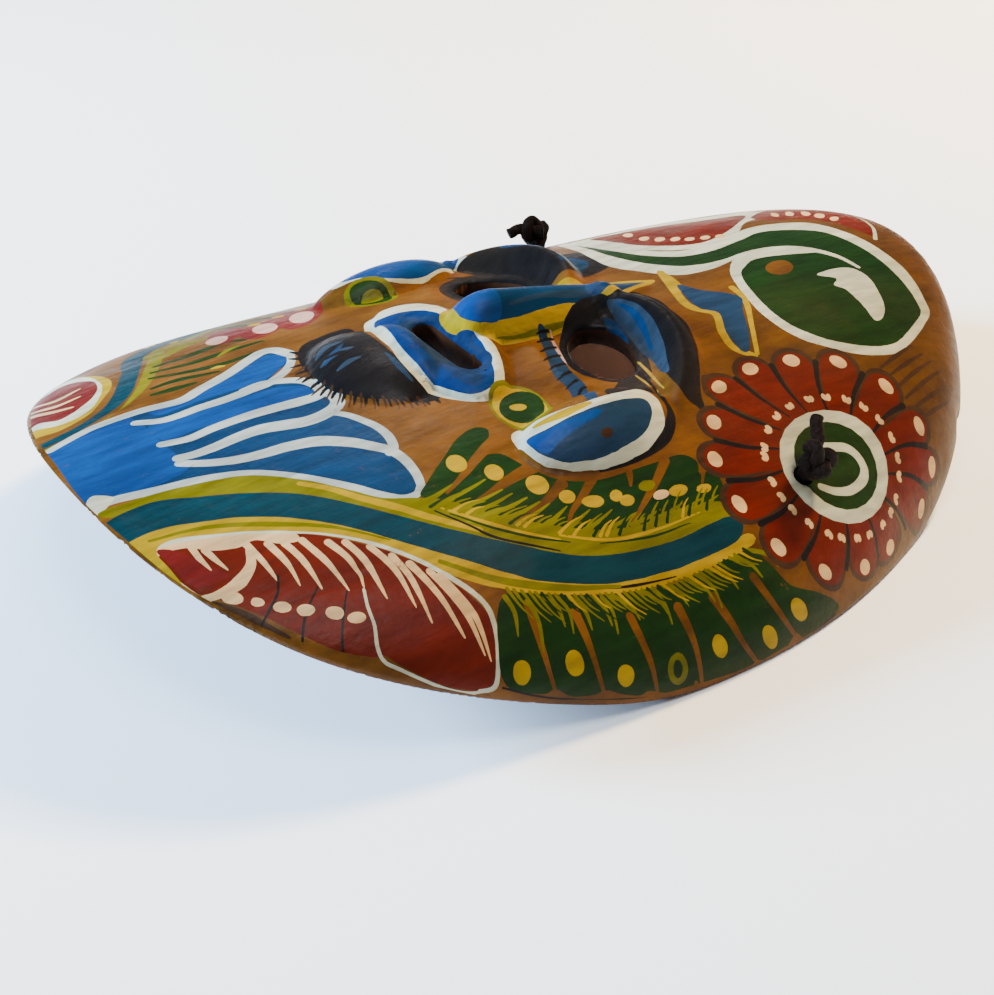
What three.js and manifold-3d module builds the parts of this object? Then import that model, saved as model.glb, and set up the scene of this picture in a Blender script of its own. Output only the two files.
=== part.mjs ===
// Painted terracotta folk mask, lying face up on its two side rims.
// Millimetres, +Z up. X runs from the chin edge to the forehead, Y across the face.
// The origin is on the table, under the middle of the mask's bounding box.
import * as THREE from 'three';
import { mergeVertices } from 'three/addons/utils/BufferGeometryUtils.js';
import Module from 'manifold-3d';

const wasm = await Module();
wasm.setup();

// Main sizes: chin edge to forehead edge, and rim to rim
const MASK_LENGTH = 240.5;
const MASK_WIDTH = 187.5;
// The plan and the carving below are laid out on a mask of this length and width, with x
// from the chin edge and y from the centre line, and they stretch with the main sizes.
const LAYOUT_LENGTH = 240.5;
const LAYOUT_WIDTH = 187.5;
const STRETCH_X = MASK_LENGTH / LAYOUT_LENGTH;
const STRETCH_Y = MASK_WIDTH / LAYOUT_WIDTH;

// Plan of the mask: the rim's distance from the middle of the face, every 30 degrees
// from the forehead (0) round one side to the chin (180). Both sides are alike.
const MIDDLE_X = 125;
const RIM_RADII = [115.5, 106.5, 93.5, 93, 103, 122.5, 125];
const RIM_STEP = 180 / (RIM_RADII.length - 1);
// Between these angles the rim is flat and rests on the table. Beyond them it rises.
const REST_FROM = 58;
const REST_TO = 103;
const FOREHEAD_RIM_RISE = 39;
const CHIN_RIM_RISE = 38;
// Height of the face's base surface at the middle, and its slope toward the forehead
const CREST_HEIGHT = 45.3;
const CREST_SLOPE = 0.04;
// Fullness of the dome: outline exponent, and height exponent at chin, forehead and sides
const PLAN_FULLNESS = [2.07, 2.16];
const CHIN_FULLNESS = 2.19;
const FOREHEAD_FULLNESS = 2.54;
const SIDE_FULLNESS = 1.6;
// Wall thickness at the crest and at the rim
const WALL = 6.5;
const RIM_WALL = 5;

// Modelled features of the face. Those in pairs are the wearer's left, which is -y, and
// right, which the hand of the potter set a little differently.
const GOATEE = { x: 77, y: 2.5, rx: 13.5, ry: 19.5, rise: 5 };
const LIPS = { x: 95, y: 1, rx: 12.5, ry: 27, turn: 0.1, rise: 4 };
const NOSE = {
  tipX: 104, tipY: 1.5, rootX: 155, rootY: -3.5, tipHalf: 9.5, midHalf: 10, rootHalf: 2.5, rise: 11.5, hollow: 0.6,
};
const CHEEKS = [{ x: 107.5, y: -45.3 }, { x: 107.5, y: 48 }];
const CHEEK = { rx: 20.5, ry: 10.3, rise: 7 };
const EYES = [{ x: 127, y: -20.5 }, { x: 125.5, y: 23.5 }];
const EYE = { rx: 7.8, ry: 11, turn: 0.3 };
const SOCKET = { rx: 15, ry: 18, depth: 2 };
const BROW = { back: 11, radius: 27.5, half: 6.2, from: -66, to: 42, rise: 5.5 };
const MOUTH = { x: 95, y: -2, halfLength: 13, halfWidth: 3, groove: 2.6 };

// Cord, its two holes at the ear flowers, and the knots that stop it from pulling through
const HOLES = [{ x: 147.5, y: -69.7 }, { x: 165.5, y: 60.5 }];
const CORD_DIAMETER = 3.2;
const HOLE_CLEARANCE = 0.9;
const KNOT_COIL = 3.4;
const KNOT_STRAND = 3.6;
const KNOT_GAP = 0.4;
const KNOT_TAIL_RADIUS = 1.4;
const KNOT_TAILS = [
  [[0, 0, 0], [2.8, 3.2, 2.2], [5.2, 6.2, 4], [7.3, 8.7, 5]],
  [[0, 0, 0], [-3, 0.5, 1.4], [-5.6, 1, 1.2], [-8, 1.5, 0.4]],
];

const BOX_MIDDLE_X = MASK_LENGTH / 2;
const THROUGH = 100;
const rad = THREE.MathUtils.degToRad;

function smooth(u) {
  const t = Math.min(1, Math.max(0, u));
  return t * t * (3 - 2 * t);
}

// Angle from the forehead direction, 0 to 180 degrees, the same on both sides
function turnAngle(phi) {
  const d = Math.abs(THREE.MathUtils.radToDeg(phi)) % 360;
  return d > 180 ? 360 - d : d;
}

// Smooth curve through the rim radii, mirrored at the forehead and the chin
function rimRadius(phi) {
  const last = RIM_RADII.length - 1;
  const t = turnAngle(phi) / RIM_STEP;
  const i = Math.min(last - 1, Math.floor(t));
  const u = t - i;
  const at = (j) => RIM_RADII[j < 0 ? -j : j > last ? 2 * last - j : j];
  const [a, b, c, d] = [at(i - 1), at(i), at(i + 1), at(i + 2)];
  return 0.5 * (2 * b + (c - a) * u + (2 * a - 5 * b + 4 * c - d) * u * u
    + (3 * b - a - 3 * c + d) * u * u * u);
}

function rimHeight(phi) {
  const d = turnAngle(phi);
  return FOREHEAD_RIM_RISE * smooth((REST_FROM - d) / REST_FROM)
    + CHIN_RIM_RISE * smooth((d - REST_TO) / (180 - REST_TO));
}

// A bump that is 1 in the middle of an ellipse and falls smoothly to 0 at its edge
function mound(dx, dy, rx, ry) {
  const d = (dx / rx) ** 2 + (dy / ry) ** 2;
  return d >= 1 ? 0 : (1 - d) ** 0.75;
}

function turned(x, y, place, turn) {
  const dx = x - place.x;
  const dy = y - place.y;
  return [
    dx * Math.cos(turn) - dy * Math.sin(turn),
    dy * Math.cos(turn) + dx * Math.sin(turn),
  ];
}

function goatee(x, y) {
  return GOATEE.rise * mound(x - GOATEE.x, y - GOATEE.y, GOATEE.rx, GOATEE.ry);
}

// Full lips that roll into the mouth slot
function lips(x, y) {
  const [dx, dy] = turned(x, y, LIPS, LIPS.turn);
  const body = mound(dx, dy, LIPS.rx, LIPS.ry);
  const groove = mound(x - MOUTH.x, y - MOUTH.y, MOUTH.halfWidth + 4, MOUTH.halfLength + 5);
  return LIPS.rise * (body ** 0.6) - MOUTH.groove * groove;
}

// Rounded tip, then a ridge that falls and narrows to the root between the eyes
function nose(x, y) {
  const u = (x - NOSE.tipX) / (NOSE.rootX - NOSE.tipX);
  if (u <= -0.1 || u >= 1) return 0;
  const start = Math.sqrt(1 - Math.max(0, 1 - (u + 0.1) / 0.24) ** 2);
  const half = u < 0.35
    ? THREE.MathUtils.lerp(NOSE.tipHalf, NOSE.midHalf, u / 0.35)
    : THREE.MathUtils.lerp(NOSE.midHalf, NOSE.rootHalf, ((u - 0.35) / 0.65) ** 1.4);
  const middle = THREE.MathUtils.lerp(NOSE.tipY, NOSE.rootY, u);
  const across = Math.max(0, 1 - ((y - middle) / half) ** 2);
  return NOSE.rise * (1 - Math.max(0, u)) ** 1.05 * start * across ** 1.2;
}

function cheek(x, y, side) {
  return CHEEK.rise * mound(x - CHEEKS[side].x, y - CHEEKS[side].y, CHEEK.rx, CHEEK.ry);
}

// Raised arc round the outer and upper side of the eye, thinning to its ends
function brow(x, y, side) {
  const outward = side === 0 ? -1 : 1;
  const dx = x - (EYES[side].x - BROW.back);
  const dy = outward * (EYES[side].y - y);
  const angle = THREE.MathUtils.radToDeg(Math.atan2(dy, dx));
  if (angle < BROW.from || angle > BROW.to) return 0;
  const t = (angle - BROW.from) / (BROW.to - BROW.from);
  const taper = Math.sin(Math.PI * t) ** 0.5;
  const off = (Math.hypot(dx, dy) - BROW.radius) / (BROW.half * (0.45 + 0.55 * taper));
  return Math.abs(off) >= 1 ? 0 : BROW.rise * taper * (1 - off * off) ** 1.6;
}

function socket(x, y, side) {
  return -SOCKET.depth * mound(x - EYES[side].x, y - EYES[side].y, SOCKET.rx, SOCKET.ry);
}

// Height of the carving over the dome, at a point of the layout
function relief(x, y) {
  const paired = [0, 1].map((side) => cheek(x, y, side) + brow(x, y, side) + socket(x, y, side));
  return goatee(x, y) + Math.max(lips(x, y), nose(x, y)) + paired[0] + paired[1];
}

// A point of the dome: phi is the direction, psi runs from 0 at the crest to 90 degrees
// at the rim. inset and drop move it inside the wall.
function domePoint(phi, psi, inset, drop) {
  const s2 = Math.sin(phi) ** 2;
  const end = Math.cos(phi) > 0 ? FOREHEAD_FULLNESS : CHIN_FULLNESS;
  const r = THREE.MathUtils.lerp(end, SIDE_FULLNESS, s2);
  const out = Math.sin(psi) ** (2 / planPower(phi));
  const up = Math.max(0, Math.cos(psi)) ** (2 / r);
  const radius = rimRadius(phi) * out;
  const dx = radius * Math.cos(phi) * STRETCH_X - inset * out * Math.cos(phi);
  const dy = radius * Math.sin(phi) * STRETCH_Y - inset * out * Math.sin(phi);
  const rim = rimHeight(phi) * (drop > 0 ? 0.93 : 1);
  const top = CREST_HEIGHT - drop + CREST_SLOPE * dx;
  return new THREE.Vector3(MIDDLE_X * STRETCH_X + dx, dy, rim + (top - rim) * up);
}

function planPower(phi) {
  return THREE.MathUtils.lerp(PLAN_FULLNESS[0], PLAN_FULLNESS[1], Math.sin(phi) ** 2);
}

// The dome's point over a point of the layout
function onDome(x, y) {
  const phi = Math.atan2(y, x - MIDDLE_X);
  const share = Math.hypot(x - MIDDLE_X, y) / rimRadius(phi);
  return domePoint(phi, Math.asin(share ** (planPower(phi) / 2)), 0, 0);
}

function domeNormal(x, y) {
  const along = onDome(x + 0.5, y).sub(onDome(x - 0.5, y));
  const across = onDome(x, y + 0.5).sub(onDome(x, y - 0.5));
  return along.cross(across).normalize();
}

function frontPoint(phi, psi) {
  const point = domePoint(phi, psi, 0, 0);
  if (psi < Math.PI / 2 - 1e-6) point.z += relief(point.x / STRETCH_X, point.y / STRETCH_Y);
  return point;
}

// The back is smooth but for the hollow that the pressed nose leaves
function backPoint(phi, psi) {
  const point = domePoint(phi, psi, RIM_WALL, WALL);
  point.z += NOSE.hollow * nose(point.x / STRETCH_X, point.y / STRETCH_Y);
  return point;
}

// Rings of points from the crest to the rim. Each ring has its own number of points.
function makeRings(point, psis, counts) {
  return psis.map((psi, k) => {
    const ring = [];
    for (let i = 0; i < counts[k]; i += 1) ring.push(point((i / counts[k]) * 2 * Math.PI, psi));
    return ring;
  });
}

// Triangles between two rings, which may have different numbers of points. Where they
// run side by side, each quad is split along its shorter diagonal.
function stitch(triangles, outer, inner, flip) {
  let i = 0;
  let j = 0;
  const put = (a, b, c) => triangles.push(...(flip ? [a, c, b] : [a, b, c]));
  while (i < outer.length || j < inner.length) {
    const ahead = (i + 1) / outer.length - (j + 1) / inner.length;
    const o = outer[i % outer.length];
    const n = inner[j % inner.length];
    const nextOuter = outer[(i + 1) % outer.length];
    const nextInner = inner[(j + 1) % inner.length];
    const shorter = nextOuter.distanceTo(n) <= o.distanceTo(nextInner);
    const outerFirst = Math.abs(ahead) < 1e-9 ? shorter : ahead < 0;
    if (j >= inner.length || (i < outer.length && outerFirst)) {
      put(o, nextOuter, n);
      i += 1;
    } else {
      put(o, nextInner, n);
      j += 1;
    }
  }
}

function fan(triangles, centre, ring, flip) {
  ring.forEach((a, i) => {
    const b = ring[(i + 1) % ring.length];
    triangles.push(...(flip ? [centre, b, a] : [centre, a, b]));
  });
}

function geometryOf(points) {
  const geometry = new THREE.BufferGeometry();
  geometry.setAttribute('position', new THREE.Float32BufferAttribute(
    points.flatMap((p) => [p.x, p.y, p.z]), 3));
  return geometry;
}

function shellGeometry() {
  const nearRings = 22;
  const farRings = 12;
  const nearEdge = 0.58;
  const frontPsis = [];
  for (let k = 1; k <= nearRings; k += 1) frontPsis.push(Math.asin((nearEdge * k) / nearRings));
  const start = frontPsis[nearRings - 1];
  for (let k = 1; k <= farRings; k += 1) {
    frontPsis.push(THREE.MathUtils.lerp(start, Math.PI / 2, k / farRings));
  }
  const frontCounts = frontPsis.map((psi, k) => (k < 3 ? 24 : k < 7 ? 48 : k < nearRings ? 112 : 84));
  const backPsis = [];
  for (let k = 1; k <= 12; k += 1) backPsis.push((Math.PI / 2) * (k / 12));
  const backCounts = backPsis.map((psi, k) => (k < 3 ? 24 : 48));
  const front = makeRings(frontPoint, frontPsis, frontCounts);
  const back = makeRings(backPoint, backPsis, backCounts);
  const triangles = [];
  fan(triangles, frontPoint(0, 0), front[0], false);
  for (let k = 1; k < front.length; k += 1) stitch(triangles, front[k], front[k - 1], false);
  fan(triangles, backPoint(0, 0), back[0], true);
  for (let k = 1; k < back.length; k += 1) stitch(triangles, back[k], back[k - 1], true);
  stitch(triangles, front[front.length - 1], back[back.length - 1], true);
  return geometryOf(triangles);
}

function toSolid(geometry) {
  const bare = geometry.clone();
  bare.deleteAttribute('normal');
  bare.deleteAttribute('uv');
  const merged = mergeVertices(bare, 1e-4);
  return new wasm.Manifold(new wasm.Mesh({
    numProp: 3,
    vertProperties: new Float32Array(merged.attributes.position.array),
    triVerts: new Uint32Array(merged.index.array),
  }));
}

function fromSolid(solid) {
  const mesh = solid.getMesh();
  const geometry = new THREE.BufferGeometry();
  geometry.setAttribute('position', new THREE.BufferAttribute(
    new Float32Array(mesh.vertProperties), 3));
  geometry.setIndex(new THREE.BufferAttribute(new Uint32Array(mesh.triVerts), 1));
  geometry.computeVertexNormals();
  return geometry;
}

// Upright cutter with an elliptical section, turned as the eye is
function eyeCutter(side) {
  const geometry = new THREE.CylinderGeometry(1, 1, THROUGH, 24);
  geometry.rotateX(Math.PI / 2);
  geometry.scale(EYE.rx, EYE.ry, 1);
  geometry.rotateZ(side === 0 ? -EYE.turn : EYE.turn);
  geometry.translate(EYES[side].x * STRETCH_X, EYES[side].y * STRETCH_Y, 0);
  return geometry;
}

function mouthCutter() {
  const { halfLength, halfWidth } = MOUTH;
  const shape = new THREE.Shape();
  const reach = halfLength - halfWidth;
  shape.absarc(0, reach, halfWidth, 0, Math.PI, false);
  shape.absarc(0, -reach, halfWidth, Math.PI, 2 * Math.PI, false);
  const geometry = new THREE.ExtrudeGeometry(shape, { depth: THROUGH, bevelEnabled: false, curveSegments: 4 });
  geometry.translate(MOUTH.x * STRETCH_X, MOUTH.y * STRETCH_Y, 0);
  return geometry;
}

// The hole goes square through the wall. Side 0 is the wearer's left.
function holeCentre(side) {
  return onDome(HOLES[side].x, HOLES[side].y);
}

function holeAxis(side) {
  return domeNormal(HOLES[side].x, HOLES[side].y);
}

function cordHoleCutter(side) {
  const radius = CORD_DIAMETER / 2 + HOLE_CLEARANCE;
  const geometry = new THREE.CylinderGeometry(radius, radius, 6 * WALL, 14);
  const turn = new THREE.Quaternion().setFromUnitVectors(new THREE.Vector3(0, 1, 0), holeAxis(side));
  geometry.applyQuaternion(turn);
  geometry.translate(...holeCentre(side).toArray());
  return geometry;
}

function maskGeometry() {
  let solid = toSolid(shellGeometry());
  for (const side of [0, 1]) {
    solid = solid.subtract(toSolid(eyeCutter(side)));
    solid = solid.subtract(toSolid(cordHoleCutter(side)));
  }
  solid = solid.subtract(toSolid(mouthCutter()));
  return fromSolid(solid);
}

// Knot: three crossing turns round a core, with a short tail
function makeKnot(side) {
  let solid = toSolid(new THREE.SphereGeometry(KNOT_COIL * 0.9, 8, 6));
  for (const tilt of [[0.7, 0], [-0.5, 0.8], [0.3, -0.9]]) {
    const turn = new THREE.TorusGeometry(KNOT_COIL, KNOT_STRAND / 2, 6, 10);
    turn.rotateX(tilt[0]);
    turn.rotateY(tilt[1]);
    solid = solid.add(toSolid(turn));
  }
  const tail = new THREE.CatmullRomCurve3(KNOT_TAILS[side].map((p) => new THREE.Vector3(...p)));
  solid = solid.add(toSolid(tubeAlong(tail, KNOT_TAIL_RADIUS, 5, 6)));
  const geometry = fromSolid(solid);
  const standoff = KNOT_COIL + KNOT_STRAND / 2 + KNOT_GAP;
  const centre = holeCentre(side).addScaledVector(holeAxis(side), standoff);
  geometry.translate(...centre.toArray());
  return geometry;
}

function tubeAlong(curve, radius, steps, sides) {
  const ring = new THREE.Shape();
  for (let i = 0; i < sides; i += 1) {
    const a = (i / sides) * 2 * Math.PI;
    if (i === 0) ring.moveTo(radius, 0);
    else ring.lineTo(radius * Math.cos(a), radius * Math.sin(a));
  }
  ring.closePath();
  return new THREE.ExtrudeGeometry(ring, { steps, extrudePath: curve });
}

// The slack of the cord drops from each hole and lies in loose bends inside the hollow.
const CORD_ROUTE = [
  [147.5, -69.9, 26.6],
  [146.8, -65.6, 20.6],
  [145.8, -59.6, 13.2],
  [143.6, -53.0, 6.4],
  [138.6, -46.0, 2.5],
  [129.5, -39.5, 1.8],
  [118.0, -34.5, 1.8],
  [107.0, -27.5, 1.8],
  [101.5, -16.0, 1.8],
  [106.0, -4.0, 1.8],
  [118.0, 1.0, 1.8],
  [132.0, -1.5, 1.8],
  [145.0, 0.5, 1.8],
  [152.5, 9.5, 1.8],
  [150.5, 21.0, 1.8],
  [149.0, 31.0, 1.8],
  [153.0, 39.5, 2.6],
  [158.5, 45.0, 6.4],
  [162.2, 49.2, 12.6],
  [164.1, 53.6, 19.4],
  [164.8, 56.7, 24.1],
  [165.5, 60.7, 30.3],
];

function cordGeometry() {
  const curve = new THREE.CatmullRomCurve3(
    CORD_ROUTE.map(([x, y, z]) => new THREE.Vector3(x, y, z)));
  return tubeAlong(curve, CORD_DIAMETER / 2, 48, 8);
}

function clay(color, roughness) {
  return new THREE.MeshStandardMaterial({ color, roughness, metalness: 0 });
}

function add(group, name, geometry, material) {
  const mesh = new THREE.Mesh(geometry, material);
  mesh.name = name;
  mesh.position.set(-BOX_MIDDLE_X, 0, 0);
  group.add(mesh);
}

const group = new THREE.Group();
add(group, 'terracotta_mask', maskGeometry(), clay(0x965a32, 0.4));
add(group, 'hanging_cord', cordGeometry(), clay(0x2b201c, 0.8));
add(group, 'left_knot', makeKnot(0), clay(0x2b201c, 0.8));
add(group, 'right_knot', makeKnot(1), clay(0x2b201c, 0.8));

export default group;
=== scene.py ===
"""Painted terracotta mask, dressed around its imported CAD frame.

Helpers work in millimetres, with x measured from the chin edge. Blender objects are in metres.
"""
import math

import bpy
import numpy as np
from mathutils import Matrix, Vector
from mathutils.geometry import delaunay_2d_cdt


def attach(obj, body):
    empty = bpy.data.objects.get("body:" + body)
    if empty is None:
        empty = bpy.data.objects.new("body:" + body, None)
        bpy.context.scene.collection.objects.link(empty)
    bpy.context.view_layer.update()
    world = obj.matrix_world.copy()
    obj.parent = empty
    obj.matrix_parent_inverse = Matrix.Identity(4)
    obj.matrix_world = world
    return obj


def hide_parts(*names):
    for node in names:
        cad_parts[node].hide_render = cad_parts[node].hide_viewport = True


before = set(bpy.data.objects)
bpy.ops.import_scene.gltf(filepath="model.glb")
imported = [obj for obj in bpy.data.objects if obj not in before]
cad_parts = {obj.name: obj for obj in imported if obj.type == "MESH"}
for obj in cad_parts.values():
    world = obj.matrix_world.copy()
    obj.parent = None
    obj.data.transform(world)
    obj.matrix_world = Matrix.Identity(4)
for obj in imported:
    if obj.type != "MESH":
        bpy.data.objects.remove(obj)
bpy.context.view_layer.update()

RNG = np.random.default_rng(7)

# Plan and height of the mask, as in the solid model
MIDDLE_X = 125.0
BOX_MIDDLE_X = 120.25
RIM_RADII = np.array([115.5, 106.5, 93.5, 93.0, 103.0, 122.5, 125.0])
REST_FROM = 58.0
REST_TO = 103.0
FOREHEAD_RIM_RISE = 39.0
CHIN_RIM_RISE = 38.0
CREST_HEIGHT = 45.3
CREST_SLOPE = 0.04
PLAN_FULLNESS = (2.07, 2.16)
CHIN_FULLNESS = 2.19
FOREHEAD_FULLNESS = 2.54
SIDE_FULLNESS = 1.6
WALL = 6.5
RIM_WALL = 5.0

# Places of the features. Those in pairs are the wearer's left, which is -y, and right.
EYES = ((127.0, -20.5), (125.5, 23.5))
EYE_RADII = (7.8, 11.0)
EYE_TURNS = (-0.3, 0.3)
CHEEKS = ((107.5, -45.3), (107.5, 48.0))
CHEEK_RADII = (20.5, 10.3)
CHEEK_RISE = 7
SOCKET_RADII = (15, 18)
SOCKET_DEPTH = 2
BROW_RADIUS = 27.5
BROW_HALF_WIDTH = 6.2
BROW_RISE = 5.5
BROW_BEHIND_EYE = 11
BROW_START = -66
BROW_SPAN = 108
NOSE_TIP_X = 104
NOSE_LENGTH = 51
NOSE_RISE = 11.5
LIPS_MIDDLE = (95, 1)
LIPS_RADII = (12.5, 27)
LIPS_TURN = 0.1
LIPS_RISE = 4
LIPS_GROOVE = 2.6
GOATEE = (77, 2.5)
GOATEE_RADII = (13.5, 19.5)
GOATEE_RISE = 5
MOUTH = (95.0, -2.0)
MOUTH_HALF_LENGTH = 13.0
MOUTH_HALF_WIDTH = 3.0
CORD_HOLES = ((147.5, -69.7), (165.5, 60.5))
HOLE_RADIUS = 2.5
CORD_DIAMETER = 3.2
HOLES = ["eye_left", "eye_right", "mouth", "cord_left", "cord_right"]
HOLE_POINTS = 48
RIM_POINTS = 420

# Radii of the soft edges along the rim and round the holes
RIM_ROUND = 0.9
HOLE_ROUND = 1.0
# Small losses at the rim: place on the unrolled plan, size and depth
CHIPS = (((219.5, -66.0), 2.2, 1.6), ((38.0, -58.5), 1.6, 0.6))


def smooth(u):
    t = np.clip(u, 0, 1)
    return t * t * (3 - 2 * t)


def lerp(a, b, t):
    return a + (b - a) * t


def turn_angle(phi):
    d = np.abs(np.degrees(phi)) % 360
    return np.where(d > 180, 360 - d, d)


def rim_radius(phi):
    last = len(RIM_RADII) - 1
    t = turn_angle(phi) / 30
    i = np.clip(np.floor(t).astype(int), 0, last - 1)
    u = t - i

    def at(j):
        return RIM_RADII[np.where(j < 0, -j, np.where(j > last, 2 * last - j, j))]

    a, b, c, d = at(i - 1), at(i), at(i + 1), at(i + 2)
    return 0.5 * (
        2 * b + (c - a) * u + (2 * a - 5 * b + 4 * c - d) * u**2 + (3 * b - a - 3 * c + d) * u**3
    )


def rim_height(phi):
    d = turn_angle(phi)
    return FOREHEAD_RIM_RISE * smooth((REST_FROM - d) / REST_FROM) + CHIN_RIM_RISE * smooth(
        (d - REST_TO) / (180 - REST_TO)
    )


def mound(dx, dy, rx, ry):
    d = (dx / rx) ** 2 + (dy / ry) ** 2
    return np.clip(1 - d, 0, None) ** 0.75


def lips(x, y):
    c, s = math.cos(LIPS_TURN), math.sin(LIPS_TURN)
    dx, dy = x - LIPS_MIDDLE[0], y - LIPS_MIDDLE[1]
    body = mound(dx * c - dy * s, dy * c + dx * s, *LIPS_RADII)
    groove = mound(x - MOUTH[0], y - MOUTH[1], MOUTH_HALF_WIDTH + 4, MOUTH_HALF_LENGTH + 5)
    return LIPS_RISE * body**0.6 - LIPS_GROOVE * groove


def nose(x, y):
    u = (x - NOSE_TIP_X) / NOSE_LENGTH
    start = np.sqrt(np.clip(1 - np.clip(1 - (u + 0.1) / 0.24, 0, None) ** 2, 0, None))
    narrow = np.clip((u - 0.35) / 0.65, 0, 1) ** 1.4
    half = np.where(u < 0.35, lerp(9.5, 10, u / 0.35), lerp(10, 2.5, narrow))
    across = np.clip(1 - ((y - lerp(1.5, -3.5, u)) / np.maximum(half, 1)) ** 2, 0, None)
    along = NOSE_RISE * np.clip(1 - np.clip(u, 0, None), 0, None) ** 1.05
    return np.where((u > -0.1) & (u < 1), along * start * across**1.2, 0)


def cheek(x, y, side):
    return CHEEK_RISE * mound(x - CHEEKS[side][0], y - CHEEKS[side][1], *CHEEK_RADII)


def brow(x, y, side):
    outward = (-1, 1)[side]
    dx, dy = x - (EYES[side][0] - BROW_BEHIND_EYE), outward * (EYES[side][1] - y)
    t = (np.degrees(np.arctan2(dy, dx)) - BROW_START) / BROW_SPAN
    taper = np.sqrt(np.clip(np.sin(np.pi * np.clip(t, 0, 1)), 0, None))
    off = (np.hypot(dx, dy) - BROW_RADIUS) / (BROW_HALF_WIDTH * (0.45 + 0.55 * taper))
    return np.where((t > 0) & (t < 1), BROW_RISE * taper * np.clip(1 - off * off, 0, None) ** 1.6, 0)


def socket(x, y, side):
    return -SOCKET_DEPTH * mound(x - EYES[side][0], y - EYES[side][1], *SOCKET_RADII)


def relief(x, y):
    goatee = GOATEE_RISE * mound(x - GOATEE[0], y - GOATEE[1], *GOATEE_RADII)
    height = goatee + np.maximum(lips(x, y), nose(x, y))
    for side in (0, 1):
        height = height + cheek(x, y, side) + brow(x, y, side) + socket(x, y, side)
    return height


def plan_power(phi):
    return lerp(PLAN_FULLNESS[0], PLAN_FULLNESS[1], np.sin(phi) ** 2)


def dome(phi, psi, inset=0.0, drop=0.0):
    """Point of the dome at direction phi. psi runs from 0 at the crest to 90 degrees at the rim."""
    s2 = np.sin(phi) ** 2
    end = np.where(np.cos(phi) > 0, FOREHEAD_FULLNESS, CHIN_FULLNESS)
    fullness = lerp(end, SIDE_FULLNESS, s2)
    out = np.sin(psi) ** (2 / plan_power(phi))
    up = np.clip(np.cos(psi), 0, 1) ** (2 / fullness)
    radius = (rim_radius(phi) - inset) * out
    dx = radius * np.cos(phi)
    rim = rim_height(phi) * (0.93 if drop > 0 else 1.0)
    top = CREST_HEIGHT - drop + CREST_SLOPE * dx
    return np.stack([MIDDLE_X + dx, radius * np.sin(phi), rim + (top - rim) * up], -1)


def front_point(phi, psi):
    p = dome(phi, psi)
    p[..., 2] += np.where(psi < math.pi / 2 - 1e-6, relief(p[..., 0], p[..., 1]), 0)
    return p


def back_point(phi, psi):
    p = dome(phi, psi, RIM_WALL, WALL)
    p[..., 2] += 0.6 * nose(p[..., 0], p[..., 1])
    return p


def params_of_plan(x, y, inset=0.0):
    """Direction and psi of the dome point above plan point (x, y)."""
    phi = np.arctan2(y, x - MIDDLE_X)
    share = np.hypot(x - MIDDLE_X, y) / (rim_radius(phi) - inset)
    return phi, np.arcsin(np.clip(share, 0, 1) ** (plan_power(phi) / 2))


# The paint is drawn on an unrolled plan: (u, v) has the direction of (x, y) from the middle,
# and its distance is measured along the dome, so that shapes keep their real size.
PHIS = np.linspace(-math.pi, math.pi, 721)
PSIS = np.linspace(0, math.pi / 2, 300)
GRID = dome(PHIS[:, None], PSIS[None, :])
STEPS = np.linalg.norm(np.diff(GRID, axis=1), axis=-1)
ARC = np.concatenate([np.zeros((len(PHIS), 1)), np.cumsum(STEPS, 1)], 1)


def arc_row(phi):
    t = (phi + math.pi) / (2 * math.pi) * (len(PHIS) - 1)
    i = np.clip(np.floor(t).astype(int), 0, len(PHIS) - 2)
    share = (t - i)[:, None]
    return ARC[i] * (1 - share) + ARC[i + 1] * share


def to_params(u, v):
    phi = np.arctan2(v, u - MIDDLE_X)
    s = np.hypot(u - MIDDLE_X, v)
    row = arc_row(phi)
    j = np.clip((row < s[:, None]).sum(1), 1, len(PSIS) - 1)
    k = np.arange(len(s))
    share = (s - row[k, j - 1]) / np.maximum(row[k, j] - row[k, j - 1], 1e-9)
    return phi, lerp(PSIS[j - 1], PSIS[j], np.clip(share, 0, 1))


def to_plan(phi, psi):
    """(u, v) of a dome point."""
    row = arc_row(phi)
    j = np.clip(np.searchsorted(PSIS, psi), 1, len(PSIS) - 1)
    share = (psi - PSIS[j - 1]) / (PSIS[j] - PSIS[j - 1])
    k = np.arange(len(phi))
    s = lerp(row[k, j - 1], row[k, j], share)
    return np.stack([MIDDLE_X + s * np.cos(phi), s * np.sin(phi)], -1)


def smooth_loop(points, closed=True, step=1.0):
    """Points about step apart on a smooth curve through a few control points."""
    pts = np.asarray(points, float)
    n = len(pts)
    out = []
    for i in range(n if closed else n - 1):
        if closed:
            a, b, c, d = (pts[(i + k) % n] for k in (-1, 0, 1, 2))
        else:
            a, b, c, d = (pts[min(max(i + k, 0), n - 1)] for k in (-1, 0, 1, 2))
        parts = max(1, int(np.ceil(np.linalg.norm(c - b) / step)))
        for t in np.arange(parts) / parts:
            square, cube = 2 * a - 5 * b + 4 * c - d, 3 * b - a - 3 * c + d
            out.append(0.5 * (2 * b + (c - a) * t + square * t**2 + cube * t**3))
    if not closed:
        out.append(pts[-1])
    return np.array(out)


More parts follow.
